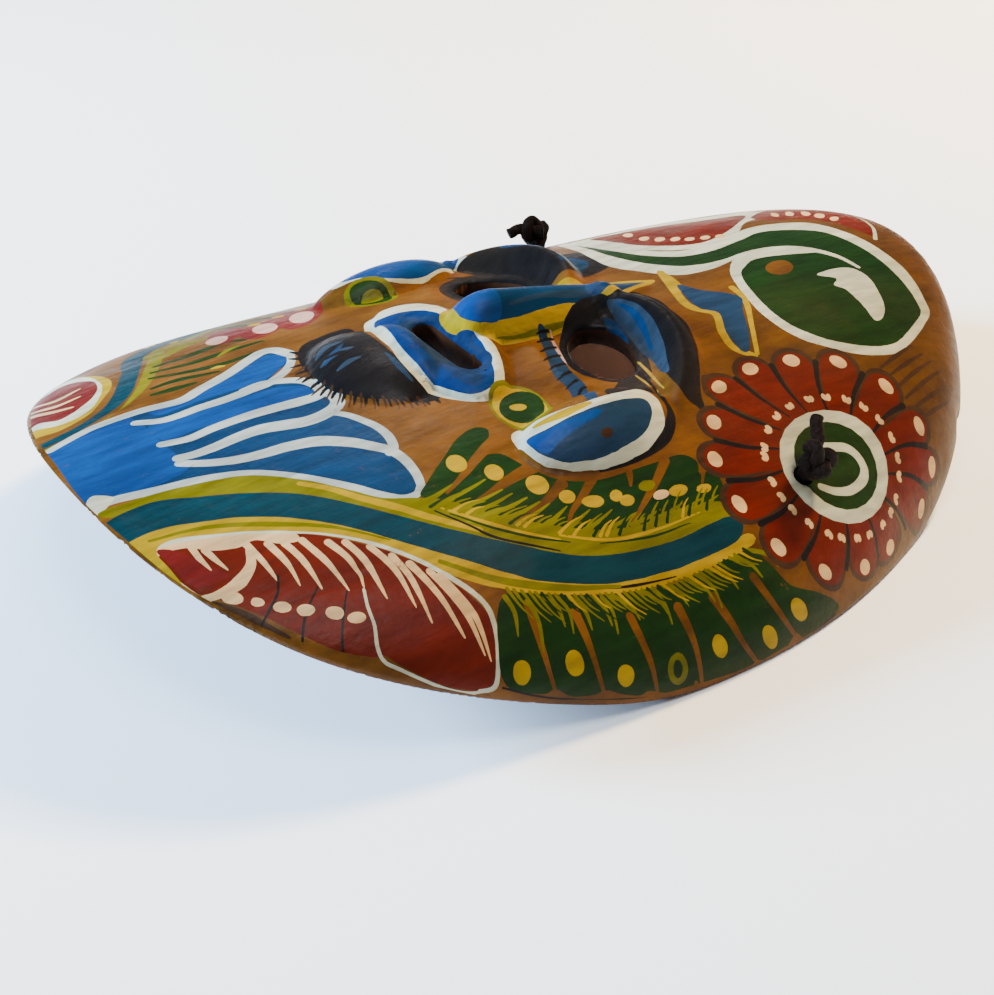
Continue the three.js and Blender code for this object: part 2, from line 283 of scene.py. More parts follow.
def inside(loop, points):
    """Which points lie inside a closed loop."""
    x, y = points[:, 0], points[:, 1]
    result = np.zeros(len(points), bool)
    low, high = loop.min(0), loop.max(0)
    near = (x >= low[0]) & (x <= high[0]) & (y >= low[1]) & (y <= high[1])
    if not near.any():
        return result
    px, py = x[near], y[near]
    a, b = loop, np.roll(loop, -1, 0)
    crossed = np.zeros(len(px), bool)
    for (ax, ay), (bx, by) in zip(a, b):
        if ay == by:
            continue
        spans = (ay > py) != (by > py)
        crossed ^= spans & (px < ax + (py - ay) / (by - ay) * (bx - ax))
    result[near] = crossed
    return result


def distance_to(loop, points):
    """Distance from each point to the nearest point of a closely sampled loop."""
    best = np.full(len(points), np.inf)
    for i in range(0, len(loop), 64):
        part = loop[i : i + 64]
        gap = np.linalg.norm(points[:, None, :] - part[None, :, :], axis=-1).min(1)
        best = np.minimum(best, gap)
    return best


# Holes, each as a loop of plan points, or of points along the slanted cord hole


def eye_ring(side, t, grow=0.0):
    turn = EYE_TURNS[side]
    a = (EYE_RADII[0] + grow) * np.cos(t)
    b = (EYE_RADII[1] + grow) * np.sin(t)
    x = EYES[side][0] + a * math.cos(turn) - b * math.sin(turn)
    y = EYES[side][1] + a * math.sin(turn) + b * math.cos(turn)
    return np.stack([x, y], -1)


def mouth_loop(count, grow=0.0):
    """Slot with round ends, evenly sampled."""
    reach = MOUTH_HALF_LENGTH - MOUTH_HALF_WIDTH
    r = MOUTH_HALF_WIDTH + grow
    turn = np.linspace(0, math.pi, count // 4, endpoint=False)
    side = np.linspace(reach, -reach, count // 4, endpoint=False)
    top = np.stack([r * np.cos(turn), reach + r * np.sin(turn)], -1)
    left = np.stack([np.full(len(side), -r), side], -1)
    low = np.stack([-r * np.cos(turn), -reach - r * np.sin(turn)], -1)
    right = np.stack([np.full(len(side), r), -side], -1)
    return np.concatenate([top, left, low, right]) + np.array(MOUTH)


def on_dome(x, y):
    return dome(*params_of_plan(np.array([x]), np.array([y])))[0]


def hole_line(side):
    """Centre of a cord hole on the front, and the direction square out of the wall there."""
    x, y = CORD_HOLES[side]
    along = on_dome(x + 0.5, y) - on_dome(x - 0.5, y)
    across = on_dome(x, y + 0.5) - on_dome(x, y - 0.5)
    axis = np.cross(along, across)
    return on_dome(x, y), axis / np.linalg.norm(axis)


def cord_hole_params(side, t, back, grow=0.0):
    """Where the slanted hole meets the front or the back of the wall."""
    centre, axis = hole_line(side)
    across = np.cross(axis, [1, 0, 0])
    across /= np.linalg.norm(across)
    other = np.cross(axis, across)
    r = HOLE_RADIUS + grow
    ring = centre + r * (np.cos(t)[:, None] * across + np.sin(t)[:, None] * other)
    low = np.full(len(t), -14.0)
    high = np.full(len(t), 14.0)
    inset, surface = (RIM_WALL, back_point) if back else (0.0, front_point)
    for _ in range(40):
        middle = (low + high) / 2
        p = ring + middle[:, None] * axis
        phi, psi = params_of_plan(p[:, 0], p[:, 1], inset)
        under = surface(phi, psi)[:, 2] > p[:, 2]
        low, high = np.where(under, middle, low), np.where(under, high, middle)
    p = ring + high[:, None] * axis
    return params_of_plan(p[:, 0], p[:, 1], inset)


def hole_params(name, back, grow=0.0):
    """Direction and psi of a hole's edge on the front or the back."""
    t = np.arange(HOLE_POINTS) / HOLE_POINTS * 2 * math.pi
    inset = RIM_WALL if back else 0.0
    side = 1 if name.endswith("right") else 0
    if name.startswith("cord"):
        return cord_hole_params(side, t, back, grow)
    ring = mouth_loop(HOLE_POINTS, grow) if name == "mouth" else eye_ring(side, t, grow)
    return params_of_plan(ring[:, 0], ring[:, 1], inset)


def hole_loop(name, grow=0.0):
    phi, psi = hole_params(name, False, grow)
    return to_plan(phi, psi)


def rim_loop(count=RIM_POINTS):
    phi = np.arange(count) / count * 2 * math.pi - math.pi
    return to_plan(phi, np.full(count, math.pi / 2))


def round_off(distance, radius):
    d = np.clip(distance, 0, radius)
    return radius - np.sqrt(np.clip(radius**2 - (radius - d) ** 2, 0, None))


def hand_wobble(p):
    """Slow unevenness of hand-pressed clay, in millimetres."""
    x, y = p[..., 0] - MIDDLE_X, p[..., 1]
    return (
        0.22 * np.sin(x / 17 + 1.3 * np.sin(y / 23))
        + 0.18 * np.sin(y / 13 + 0.9 * np.sin(x / 19) + 2)
        + 0.08 * np.sin(x / 6.1 + y / 7.7)
    )


def front_vertices(points):
    """Unrolled points to points in space, with rounded rim and hole edges."""
    phi, psi = to_params(points[:, 0], points[:, 1])
    p = front_point(phi, psi)
    to_rim = arc_row(phi)[:, -1] - np.hypot(points[:, 0] - MIDDLE_X, points[:, 1])
    inward = round_off(to_rim, RIM_ROUND)
    for place, size, depth in CHIPS:
        inward += depth * np.exp(-((points - place) ** 2).sum(1) / size**2)
    p[:, 0] -= inward * np.cos(phi)
    p[:, 1] -= inward * np.sin(phi)
    for name in HOLES:
        gap = distance_to(hole_loop(name), points)
        p[:, 2] -= round_off(gap, HOLE_ROUND) * 0.9
    calm = smooth((to_rim - 1) / 8)
    p[:, 2] += (hand_wobble(p) - 0.3) * calm
    return p


def lattice(step):
    """Staggered points over the unrolled face."""
    u = np.arange(-5, 250, step)
    v = np.arange(-115, 115, step * 0.866)
    uu, vv = np.meshgrid(u, v)
    uu = uu + (np.arange(len(v)) % 2)[:, None] * step / 2
    return np.stack([uu.ravel(), vv.ravel()], -1)


def fill_points():
    """Points for the front mesh: finer where the modelled features curve."""
    coarse = lattice(2.4)
    fine = lattice(1.2)
    x, y = fine[:, 0], np.abs(fine[:, 1])
    modelled = (
        ((x > 60) & (x < 92) & (y < 24))
        | ((x > 80) & (x < 112) & (y < 32))
        | ((x > 96) & (x < 156) & (y < 15))
        | ((np.hypot(x - 125, y - 23) < 38) & (x > 106))
        | ((np.abs(x - 107) < 24) & (np.abs(y - 50) < 15))
    )
    pts = np.concatenate([coarse, fine[modelled]])
    s = np.hypot(pts[:, 0] - MIDDLE_X, pts[:, 1])
    limit = arc_row(np.arctan2(pts[:, 1], pts[:, 0] - MIDDLE_X))[:, -1]
    pts = pts[s < limit - 1.0]
    rings = [rim_inset(d) for d in (0.25, 0.6, 1.1, 1.8)]
    for name in HOLES:
        pts = pts[~inside(hole_loop(name, 1.3), pts)]
        rings += [hole_loop(name, d) for d in (0.15, 0.4, 0.8, 1.2)]
    return np.concatenate([pts] + rings)


def rim_inset(distance, count=RIM_POINTS):
    phi = np.arange(count) / count * 2 * math.pi - math.pi
    s = arc_row(phi)[:, -1] - distance
    return np.stack([MIDDLE_X + s * np.cos(phi), s * np.sin(phi)], -1)


def triangulate(points, loops):
    """Triangles of the points, with every loop's segments among the edges."""
    coords = [Vector(p) for p in points]
    edges = []
    for loop in loops:
        start = len(coords)
        coords += [Vector(p) for p in loop]
        n = len(loop)
        edges += [(start + i, start + (i + 1) % n) for i in range(n)]
    made = delaunay_2d_cdt(coords, edges, [], 0, 1e-4, False)
    verts = np.array([tuple(v) for v in made[0]])
    faces = np.array(made[2])
    return verts, faces


def keep_wall(verts, faces, rim, holes):
    """Only the triangles inside the rim and outside the holes, with unused points dropped."""
    middle = verts[faces].mean(1)
    keep = inside(rim, middle)
    for hole in holes:
        keep &= ~inside(hole, middle)
    faces = faces[keep]
    used, back = np.unique(faces, return_inverse=True)
    return verts[used], back.reshape(faces.shape)


def open_edges(faces):
    """Directed edges with a face on one side only."""
    directed = np.concatenate([faces[:, [0, 1]], faces[:, [1, 2]], faces[:, [2, 0]]])
    seen = {(a, b) for a, b in directed.tolist()}
    return [(a, b) for a, b in seen if (b, a) not in seen]


def open_loops(faces):
    """Closed chains of the open edges."""
    follow = dict(open_edges(faces))
    loops = []
    while follow:
        start, at = follow.popitem()
        loop = [start]
        while at != start:
            loop.append(at)
            at = follow.pop(at)
        loops.append(loop)
    return loops


def stitch(faces, points, outer, inner, centre):
    """Strip of triangles between two loops, matched by direction round a centre."""
    def ordered(loop):
        turn = np.arctan2(points[loop, 1] - centre[1], points[loop, 0] - centre[0])
        order = np.argsort(turn)
        return [loop[i] for i in order], np.sort(turn)

    a, ta = ordered(outer)
    b, tb = ordered(inner)
    i = j = 0
    while i < len(a) or j < len(b):
        next_a = ta[i + 1] if i + 1 < len(a) else ta[0] + 2 * math.pi
        next_b = tb[j + 1] if j + 1 < len(b) else tb[0] + 2 * math.pi
        if j >= len(b) or (i < len(a) and next_a <= next_b):
            faces.append((a[i % len(a)], a[(i + 1) % len(a)], b[j % len(b)]))
            i += 1
        else:
            faces.append((a[i % len(a)], b[(j + 1) % len(b)], b[j % len(b)]))
            j += 1


# Paint: shapes are laid over each other in order, each a loop on the unrolled plan
SHAPES = []
COLOURS = {
    "clay": (0.150, 0.056, 0.010),
    "blue": (0.0008, 0.026, 0.105),
    "deep": (0.0015, 0.018, 0.050),
    "chevron": (0.008, 0.022, 0.046),
    "recess": (0.005, 0.016, 0.045),
    "slate": (0.014, 0.022, 0.032),
    "lip": (0.0006, 0.016, 0.068),
    "chalk": (0.235, 0.255, 0.215),
    "shadow": (0.013, 0.009, 0.007),
    "teal": (0.002, 0.020, 0.028),
    "green": (0.004, 0.017, 0.002),
    "yellow": (0.240, 0.150, 0.0003),
    "yellowish": (0.200, 0.120, 0.010),
    "olive": (0.090, 0.080, 0.0004),
    "red": (0.072, 0.005, 0.0006),
    "crimson": (0.085, 0.005, 0.004),
    "petal": (0.330, 0.180, 0.130),
    "cream": (0.430, 0.270, 0.120),
    "white": (0.340, 0.335, 0.235),
    "dark": (0.005, 0.004, 0.004),
    "brown": (0.028, 0.012, 0.005),
}
CLAY_WARM = (0.125, 0.046, 0.005, 1)
CLAY_DARK = (0.050, 0.018, 0.002, 1)
# Darker clay used towards the forehead end
FOREHEAD_CLAY_WARM = (0.080, 0.030, 0.002, 1)
FOREHEAD_CLAY_DARK = (0.026, 0.010, 0.002, 1)
# Set while a shape of the near side is repeated on the far side
MIRROR = {"on": False}


def paint(loop, colour):
    loop = np.array(loop, float)
    if MIRROR["on"]:
        loop[:, 1] = -loop[:, 1]
    SHAPES.append((loop, COLOURS[colour]))


def dark_hatch():
    """Loose dark strokes beside the flower, at the forehead rim."""
    for start, end in (
        ((189.5, -52.5), (204, -48.5)), ((190.5, -55), (206, -51)), ((191.5, -58), (208, -53)),
        ((192.5, -61), (210, -55.5)), ((193, -64), (211, -59)), ((193.5, -67), (210, -62.5)),
    ):
        middle = (start[0] * 0.5 + end[0] * 0.5, start[1] * 0.45 + end[1] * 0.55)
        line("brown", (0.7, 1.2, 0.5), start, middle, end)


def mirrored(draw):
    MIRROR["on"] = True
    draw()
    MIRROR["on"] = False


def hand_edge(loop, amount=0.12):
    """The slight waver of a brush held by hand."""
    gap = RNG.normal(0, amount, (len(loop), 2))
    kernel = np.ones(5) / 5
    for k in (0, 1):
        gap[:, k] = np.convolve(np.concatenate([gap[-2:, k], gap[:, k], gap[:2, k]]), kernel, "valid")
    return loop + gap


def area(colour, *points):
    paint(hand_edge(smooth_loop(points, step=0.9)), colour)


def line(colour, widths, *points):
    """Brush stroke whose width runs from the start through the middle to the end."""
    path = smooth_loop(points, closed=False, step=0.9)
    t = np.linspace(0, 1, len(path))
    half = np.interp(t, [0, 0.5, 1], widths) / 2
    along = np.gradient(path, axis=0)
    along /= np.linalg.norm(along, axis=1)[:, None]
    side = np.stack([-along[:, 1], along[:, 0]], -1) * half[:, None]
    cap = np.linspace(math.pi / 2, -math.pi / 2, 7)[1:-1, None]
    end = path[-1] + half[-1] * np.cos(cap) * along[-1] + np.sin(cap) * side[-1]
    start = path[0] - half[0] * np.cos(cap) * along[0] - np.sin(cap) * side[0]
    paint(hand_edge(np.concatenate([path + side, end, (path - side)[::-1], start]), 0.06), colour)


def spot(colour, centre, radii, turn=0):
    t = np.linspace(0, 2 * math.pi, 22, endpoint=False)
    a, b = radii[0] * np.cos(t), radii[1] * np.sin(t)
    c, s = math.cos(math.radians(turn)), math.sin(math.radians(turn))
    paint(hand_edge(np.array(centre) + np.stack([a * c - b * s, a * s + b * c], -1)), colour)


def strokes(colour, *each):
    """Brush strokes of one colour, each given by its widths and then its points."""
    for widths, *points in each:
        line(colour, widths, *points)


def spots(colour, *each):
    """Spots of one colour, each given by its centre, radii and turn."""
    for centre, radii, turn in each:
        spot(colour, centre, radii, turn)


def chin_fan():
    """Blue petals that spread from the chin edge, edged in chalky white."""
    area("deep",
        (2.6, 13.8), (10.2, 16.9), (16.2, 18.2), (25.9, 18.1), (34.9, 16.2), (41, 18.7), (49.3, 21.5),
        (59.2, 25.6), (62.8, 25.9), (65.1, 22.6), (63.6, 18), (54.6, 10.9), (60.1, 5.5), (61.7, -0.1),
        (62.6, -6.4), (60, -9.7), (62.1, -15.3), (64.5, -22.2), (64.1, -28.2), (62.7, -31.1),
        (63.1, -36.9), (62, -43), (59.1, -44.5), (56.4, -43.7), (53.2, -39.7), (47.2, -32.6),
        (42.1, -27.6), (33.6, -21.2), (24.1, -16.8), (15.9, -14.9), (7, -12.8), (2, -13.1), (-3, -17),
        (-3, 19),
    )
    area("blue",
        (-3, 19), (2.6, 13.8), (10.2, 16.9), (16.2, 18.2), (22.3, 18.3), (23.9, 10.8), (23.7, 2.3),
        (24.2, -5.9), (24.6, -10.9), (21.5, -12.7), (14.3, -13.3), (7.2, -12.5), (2, -13.1), (-3, -17),
    )
    area("blue",
        (28.2, 17.9), (40.6, 17.7), (48.8, 20.5), (58.6, 24.5), (62.2, 24.8), (64.6, 21.6),
        (63.2, 18.4), (55.8, 13.2), (48.3, 12.6), (38.6, 13.4), (28.7, 13.4),
    )
    area("blue",
        (25, 10.5), (36.7, 9.4), (47.6, 8.6), (54.5, 7.1), (59.4, 4.2), (60.6, -0.3), (54.5, -0.1),
        (45.1, 1.1), (32.9, 1.4), (24.6, 1.6),
    )
    line("chalk", (2, 3.2, 3.2),
        (3, 14.7), (10.4, 17.4), (16.4, 18.7), (26.1, 18.6), (35.1, 16.7), (41, 18.7), (49.5, 22),
        (57.7, 26.4), (61.7, 28), (64.5, 26.6), (66, 21.7),
    )
    line("chalk", (1.9, 3.2, 2.4),
        (66, 21.7), (64.1, 17.5), (60.1, 13.4), (54.4, 10.4), (49.6, 10.1), (43.2, 9.9), (37.1, 10.3),
        (28.6, 10.4), (22.9, 13.6),
    )
    line("chalk", (2.4, 3.6, 2.4),
        (48.5, 11), (53.3, 11.3), (58.1, 9.1), (61.1, 6.5), (62.4, 3), (62.2, -1.1), (59.8, -2.6),
        (55.9, -2.3), (51.2, -1.5), (44.3, -0.5), (35.7, -0.3), (29.3, -1.1), (23.3, 0.4),
    )
    line("chalk", (3.2, 4, 2.4),
        (62.2, -1.1), (63.3, -4.2), (62.7, -7.6), (60.5, -9.6), (56.9, -10.6), (52.7, -10.5),
        (48.5, -9), (43.7, -7.4), (38.5, -7.1), (32.1, -7.8), (27.4, -7.7), (23.7, -6.9),
    )
    line("chalk", (1.6, 2.1, 2.2),
        (56, -10.4), (58.8, -10.9), (61.3, -13.2), (63.3, -17.2), (64.8, -21.5), (65.1, -25.8),
        (63.9, -29.8), (62.3, -30.8),
    )
    line("chalk", (2.3, 3.7, 1.9),
        (23.2, -9), (27.6, -12.1), (33.3, -14.8), (39.1, -16.2), (45.5, -17), (51.7, -19), (56.9, -23),
        (60.7, -27.3), (63, -30.5), (63.8, -34.6), (63.5, -39.4), (62.4, -43.2),
    )
    line("chalk", (1.8, 2.4, 2.6),
        (62.4, -43.2), (60.2, -45.1), (56.8, -44.6), (53, -40.9), (49.3, -36.1), (45.7, -32),
        (41.9, -27.9), (33.8, -20.9), (24.1, -16.8), (15.9, -14.9), (7, -12.8), (1.5, -13.1),
    )
    area("white", (1.3, -10.6), (3.5, -9.1), (6.8, -11.8), (4.2, -14.5), (1.5, -15.6), (0.9, -13.5))


def near_bands():
    """Teal band between yellow ones, from the chin round under the cheek."""
    area("yellow",
        (-3, -27), (2.7, -25.6), (10.8, -25.5), (18.4, -28.2), (27.8, -32.3), (36.1, -38.3),
        (43.6, -45.8), (50.5, -54), (57.6, -61.7), (65.1, -68.7), (71.8, -73.8), (83.9, -79.2),
        (93.4, -81.4), (104, -82.7), (115.7, -83), (124.7, -82.4), (124.9, -84.9), (113.7, -86),
        (102.1, -85.6), (91.6, -84.1), (82.2, -81.6), (73.7, -78.5), (65.9, -74.9), (59.1, -70.2),
        (54.8, -65.9), (51.3, -60.1), (46.2, -53.2), (40.4, -47.2), (34, -42.1), (25.4, -36.8),
        (18, -33.3), (12.5, -31), (8.5, -30.8), (6.7, -32.7), (6.9, -37.4), (7.2, -42.9), (5.7, -41.1),
        (4.3, -35.8),
    )
    area("olive",
        (1.7, -15.2), (8.9, -15), (15.4, -15.8), (23.7, -17.7), (33.5, -21.5), (41.6, -28.5),
        (47.3, -35.3), (52.9, -42.3), (60.1, -46.4), (65.2, -50), (71, -56.4), (77.7, -61.5),
        (87, -67.1), (98, -70.8), (111.5, -72), (121.2, -72.8), (123.2, -74.7), (121.9, -77.5),
        (114.8, -77.7), (107.3, -78), (96.7, -76.7), (87.1, -74.6), (79, -70.9), (68.6, -63.7),
        (60.7, -56.9), (53.7, -48.8), (46.7, -40.5), (39.3, -32.6), (30.8, -26.6), (21.7, -21.8),
        (12.1, -18), (4.2, -18.3),
    )
    line("yellow", (1.3, 2, 1.3),
        (40.9, -29.7), (45.4, -34.5), (49.3, -40.2), (54.9, -46.9), (60.4, -53.6), (66.5, -59.3),
    )
    area("teal",
        (-3, -21), (2.9, -18.5), (12.3, -17.7), (21.7, -21.8), (30.8, -26.6), (39.3, -32.6),
        (46.7, -40.5), (53.7, -48.8), (61, -56.5), (68.8, -63.3), (79.3, -70.5), (87.4, -74.2),
        (97, -76.3), (107.5, -77.6), (116.6, -77.2), (122, -77.2), (124.8, -79.4), (122.1, -82.6),
        (115.3, -83.6), (103.6, -83.3), (93, -82), (83.5, -79.8), (71.4, -74.4), (64.7, -69.3),
        (57.2, -62.3), (50, -54.6), (43.1, -46.5), (35.7, -39.1), (27.4, -33.1), (18.1, -29),
        (10.4, -26.4), (2.8, -26.7), (-3, -27),
    )
    strokes("dark",
        ((0.4, 0.8, 0.4), (60.9, -51), (65.2, -57.6), (69.1, -62.9), (79.5, -70.1)),
        ((0.3, 0.7, 0.3), (80.8, -79.7), (87.4, -82), (94.8, -83.6), (101.5, -84.7)),
    )
    strokes("olive",
        ((1, 1.9, 0.7), (54.6, -62.5), (60.3, -68.5), (67, -73.4), (76.6, -78.1), (87.6, -81.8)),
        ((0.8, 1.5, 0.4), (7, -28.6), (17.2, -30.6), (28.1, -36.1), (39.8, -44.2), (48.5, -53.3)),
    )
    strokes("yellow",
        ((0.6, 1.1, 0.4), (62.3, -50.7), (67.9, -57.3), (74.1, -63), (81.2, -67.7)),
        ((0.5, 0.9, 0.3), (81.8, -66.9), (91.8, -71.8), (104.4, -73.8), (116, -73.9)),
    )
    strokes("green",
        ((0.3, 0.8, 0.3), (63.2, -53.1), (68.9, -59.5), (75.4, -64.9), (82.9, -69.1)),
        ((0.2, 0.7, 0.2), (89.1, -71.8), (101, -74.6), (112, -75.4)),
    )


def near_feather():
    """Large red feather at the rim, with cream hairs and a row of dots."""
    area("red",
        (5.3, -31.6), (7.9, -31.3), (11.9, -32.1), (23.1, -36.8), (33.6, -42.9), (39.8, -48.2),
        (45.5, -54.2), (50.3, -61), (53.6, -66.6), (56, -72), (56.8, -76.5), (55.1, -81.5),
        (52, -86.4), (49.1, -88.9), (44.4, -87.2), (39.6, -83.7), (34.9, -77.8), (33.1, -74.7),
        (30.7, -73.8), (25.8, -70), (21, -63.5), (17.5, -57.7), (14.1, -52.7), (11, -48.4),
        (7.6, -44.2), (5.4, -38),
    )
    area("clay",
        (9.8, -47.6), (13.5, -51.9), (17.5, -57.7), (20.9, -63.6), (25.6, -70.1), (30.5, -74),
        (27.8, -76.7), (22.6, -71.7), (16.6, -63.9), (12, -56.3),
    )
    line("brown", (0.6, 1.8, 0.6), (10.2, -49), (13.5, -53.5), (15.9, -57.8), (18.9, -62.9))
    area("cream",
        (5.6, -31.3), (9.2, -30.7), (16.6, -31.9), (25.7, -36.3), (32.3, -41.1), (32.7, -44.3),
        (28.9, -43), (25, -39.6), (21.5, -39.8), (16.8, -37.9), (13, -34.6), (7.9, -33.1), (5.5, -34),
    )
    area("crimson",
        (7, -31.9), (10, -33.5), (12.6, -37.6), (15.5, -43.4), (15.9, -45.2), (12.4, -45.2),
        (9.8, -44.5), (8.2, -41.9), (7.5, -37.2),
    )
    line("white", (1.1, 1.4, 0.8),
        (5.6, -31.3), (8, -31), (12.3, -31.5), (23.6, -36), (34, -42.1), (40.4, -47.2), (46, -53.4),
        (51.1, -60.5), (54.4, -66.5), (56.9, -71.7), (57.6, -76.1), (55.5, -81.6), (52.5, -86.2),
        (49.6, -88.9), (46.2, -88.3),
    )
    line("cream", (1.4, 3.1, 1.2),
        (22.7, -41.4), (21.2, -44.9), (18, -47.2), (14.7, -48.1), (11.1, -48), (8.7, -46.9),
    )
    strokes("cream",
        ((0.7, 1.3, 1.3), (8.7, -46.9), (7.6, -44.2), (6.4, -40.5), (5.9, -36.1), (5.8, -31.9)),
        ((1.6, 1.3, 0.3), (13.4, -33.9), (13.3, -38.1), (13.8, -42)),
        ((1.7, 1.2, 0.3), (15.3, -36.8), (15.9, -40.5), (16.7, -43.7)),
        ((1.7, 1.3, 0.3), (22.9, -39.3), (23.6, -45.1), (23.7, -51.7)),
        ((1.7, 1.4, 0.3), (26.8, -41.7), (27.5, -48.2), (26.9, -54.4)),
        ((1.7, 1.3, 0.3), (29.7, -43.5), (30.6, -49.3), (30.2, -57.3)),
        ((1.7, 1.4, 0.3), (33.1, -44.5), (34.5, -52.4), (34.6, -60.2)),
        ((1.7, 1.4, 0.3), (37.3, -47.7), (38.7, -53.9), (37.6, -61)),
        ((1.7, 1.5, 0.3), (40.3, -49.4), (41.3, -55.3), (40.3, -65.2)),
        ((1.6, 1.4, 0.3), (44, -52.9), (45.4, -60.2), (44.4, -69.3)),
        ((1.6, 1.3, 0.3), (46.7, -57), (47.1, -63.7), (45.4, -73.4)),
        ((1.7, 1.4, 0.4), (48.8, -60.3), (50.1, -69.2), (49.7, -78.5)),
        ((1.6, 1.4, 0.3), (51.4, -63.6), (52.9, -74), (51.5, -83)),
        ((1.5, 1.4, 0.3), (52.8, -65.3), (54.2, -75.6), (52, -84.4)),
    )
    strokes("dark",
        ((0.4, 0.7, 0.4), (24.4, -50.1), (22.3, -53.6), (18.9, -56.2), (15.7, -58.1)),
        ((0.4, 0.6, 0.5), (29.7, -56.5), (24.5, -60.5), (20.7, -64.8)),
        ((0.4, 0.5, 0.5), (34.1, -60.2), (29.6, -65.7), (26.4, -70.2)),
    )
    spots("cream",
        ((14, -50.2), (2.2, 1.5), -38), ((17.8, -53.5), (1.4, 1.1), -32),
        ((21.3, -56.9), (1.8, 1.3), -30), ((24.9, -59.8), (1.8, 1.3), -28),
        ((29.5, -63.1), (1.8, 1.4), -27), ((32.7, -66), (1.8, 1.2), -17),
    )
    line("white", (0.6, 0.8, 0.6),
        (37.3, -61.4), (35.9, -65), (34.8, -69.1), (32.9, -72.7), (32.4, -75.5), (34.2, -78.1),
        (39.2, -84.1), (44, -87.7), (48.4, -88.8),
    )


def near_lower_fringe():
    """Green lobes between the bands and the rim, with olive hairs and yellow dabs."""
    area("green",
        (60.9, -74.9), (67.8, -75.8), (82.1, -81.8), (101.8, -86), (121.9, -85.2), (125.7, -89.2),
        (130.1, -96.3), (137.5, -99.6), (145.6, -104.2), (142.1, -107.1), (137, -108.7),
        (132.1, -109.5), (128.2, -106.9), (123.5, -109.7), (117.7, -110.5), (114.3, -109),
        (109.7, -110.2), (102.3, -110), (96.7, -109.2), (95.1, -106.5), (92.7, -108.5), (86.8, -106.3),
        (82.6, -103.8), (79.7, -103.8), (75.6, -101.7), (72.4, -99.4), (69.2, -99.1), (64.3, -97.3),
        (61.7, -94.6), (58.8, -94.4), (54.4, -92.1), (52.1, -89.7), (53.6, -85),
    )
    strokes("clay",
        ((2.1, 1.4, 0.7), (66, -77.7), (64, -85.1), (62.4, -91.2), (61, -96.1)),
        ((2.2, 1.4, 0.8), (74.6, -83), (74, -89), (72.8, -95), (71.4, -100.7)),
        ((2, 1.6, 0.8), (86, -88.2), (85.9, -93.8), (85.5, -99.2), (84.2, -104.8)),
        ((2.4, 1.6, 0.9), (98.2, -90.7), (98.3, -96.3), (97.8, -101.8), (96.3, -108.3)),
        ((2.5, 1.7, 0.9), (107.8, -92), (109.5, -98.1), (111.3, -104.4), (114.2, -110)),
        ((2.3, 1.6, 1), (120.4, -91.7), (122.6, -97.7), (125.9, -104.4), (129.7, -109.6)),
    )
    strokes("olive",
        ((1.2, 0.9, 0.3), (62.3, -74.6), (62.3, -78.1), (60.2, -82.4)),
        ((1.2, 0.9, 0.4), (66.4, -77.1), (66, -81.7), (63.6, -87.1)),
        ((1.2, 1, 0.4), (70.2, -77.9), (71.6, -80.7), (70.9, -84.5)),
        ((1.2, 1, 0.4), (75.4, -79.9), (76.9, -83.1), (76.2, -87.3)),
        ((1.2, 1, 0.4), (79.6, -81.5), (81.4, -84.4), (81, -88.3)),
        ((1.2, 1, 0.4), (84.5, -83), (87.3, -85.8), (87.9, -89.6)),
        ((1.2, 1, 0.4), (91.4, -84.4), (94.4, -87.2), (95.1, -91)),
        ((1.2, 1, 0.4), (97.1, -85.2), (100.1, -87.7), (100.8, -91.3)),
        ((1.3, 1.1, 0.4), (103.4, -85.9), (106.7, -88.9), (107.8, -92.9)),
        ((1.3, 1.1, 0.4), (110, -86.1), (113.7, -88.8), (115.1, -92.6)),
        ((1.3, 1.1, 0.4), (116.8, -85.8), (121, -88.6), (122.8, -92.4)),
        ((1.3, 1.1, 0.5), (122.4, -85.9), (126.7, -88.1), (128.6, -91.5)),
        ((1, 0.7, 0.4), (72.9, -78.9), (73.5, -82.2), (71.9, -86.4)),
        ((1, 0.7, 0.4), (82.1, -82.5), (82.8, -85.9), (81.4, -90.2)),
        ((1, 0.8, 0.4), (93.9, -84.9), (95.5, -88.6), (94.9, -93.2)),
        ((1.1, 0.8, 0.4), (106.8, -86.4), (109, -90.1), (108.9, -94.7)),
    )
    spots("yellow",
        ((56.7, -88.8), (2.6, 1.8), 39), ((68.7, -91.6), (2.7, 2.1), 56), ((78.5, -98.5), (2.5, 2), 44),
    )
    spot("olive", (91.5, -102.3), (3.6, 2.7), 58)
    spot("green", (91.5, -102.3), (2.1, 1.2), 63)
    spots("yellow",
        ((104.4, -102), (2.6, 2.1), 90), ((119.4, -105.2), (2.9, 2.2), -70),
        ((130.7, -102.1), (3, 2.3), -51),
    )
    strokes("dark",
        ((0.5, 0.5, 0.3), (51.1, -89.7), (58.5, -95), (70, -100.7), (84.5, -106.2), (97, -109.6)),
        ((0.8, 0.8, 0.8), (101.6, -110.1), (114.9, -110.5), (129.7, -109.6), (144.2, -106.2)),
    )


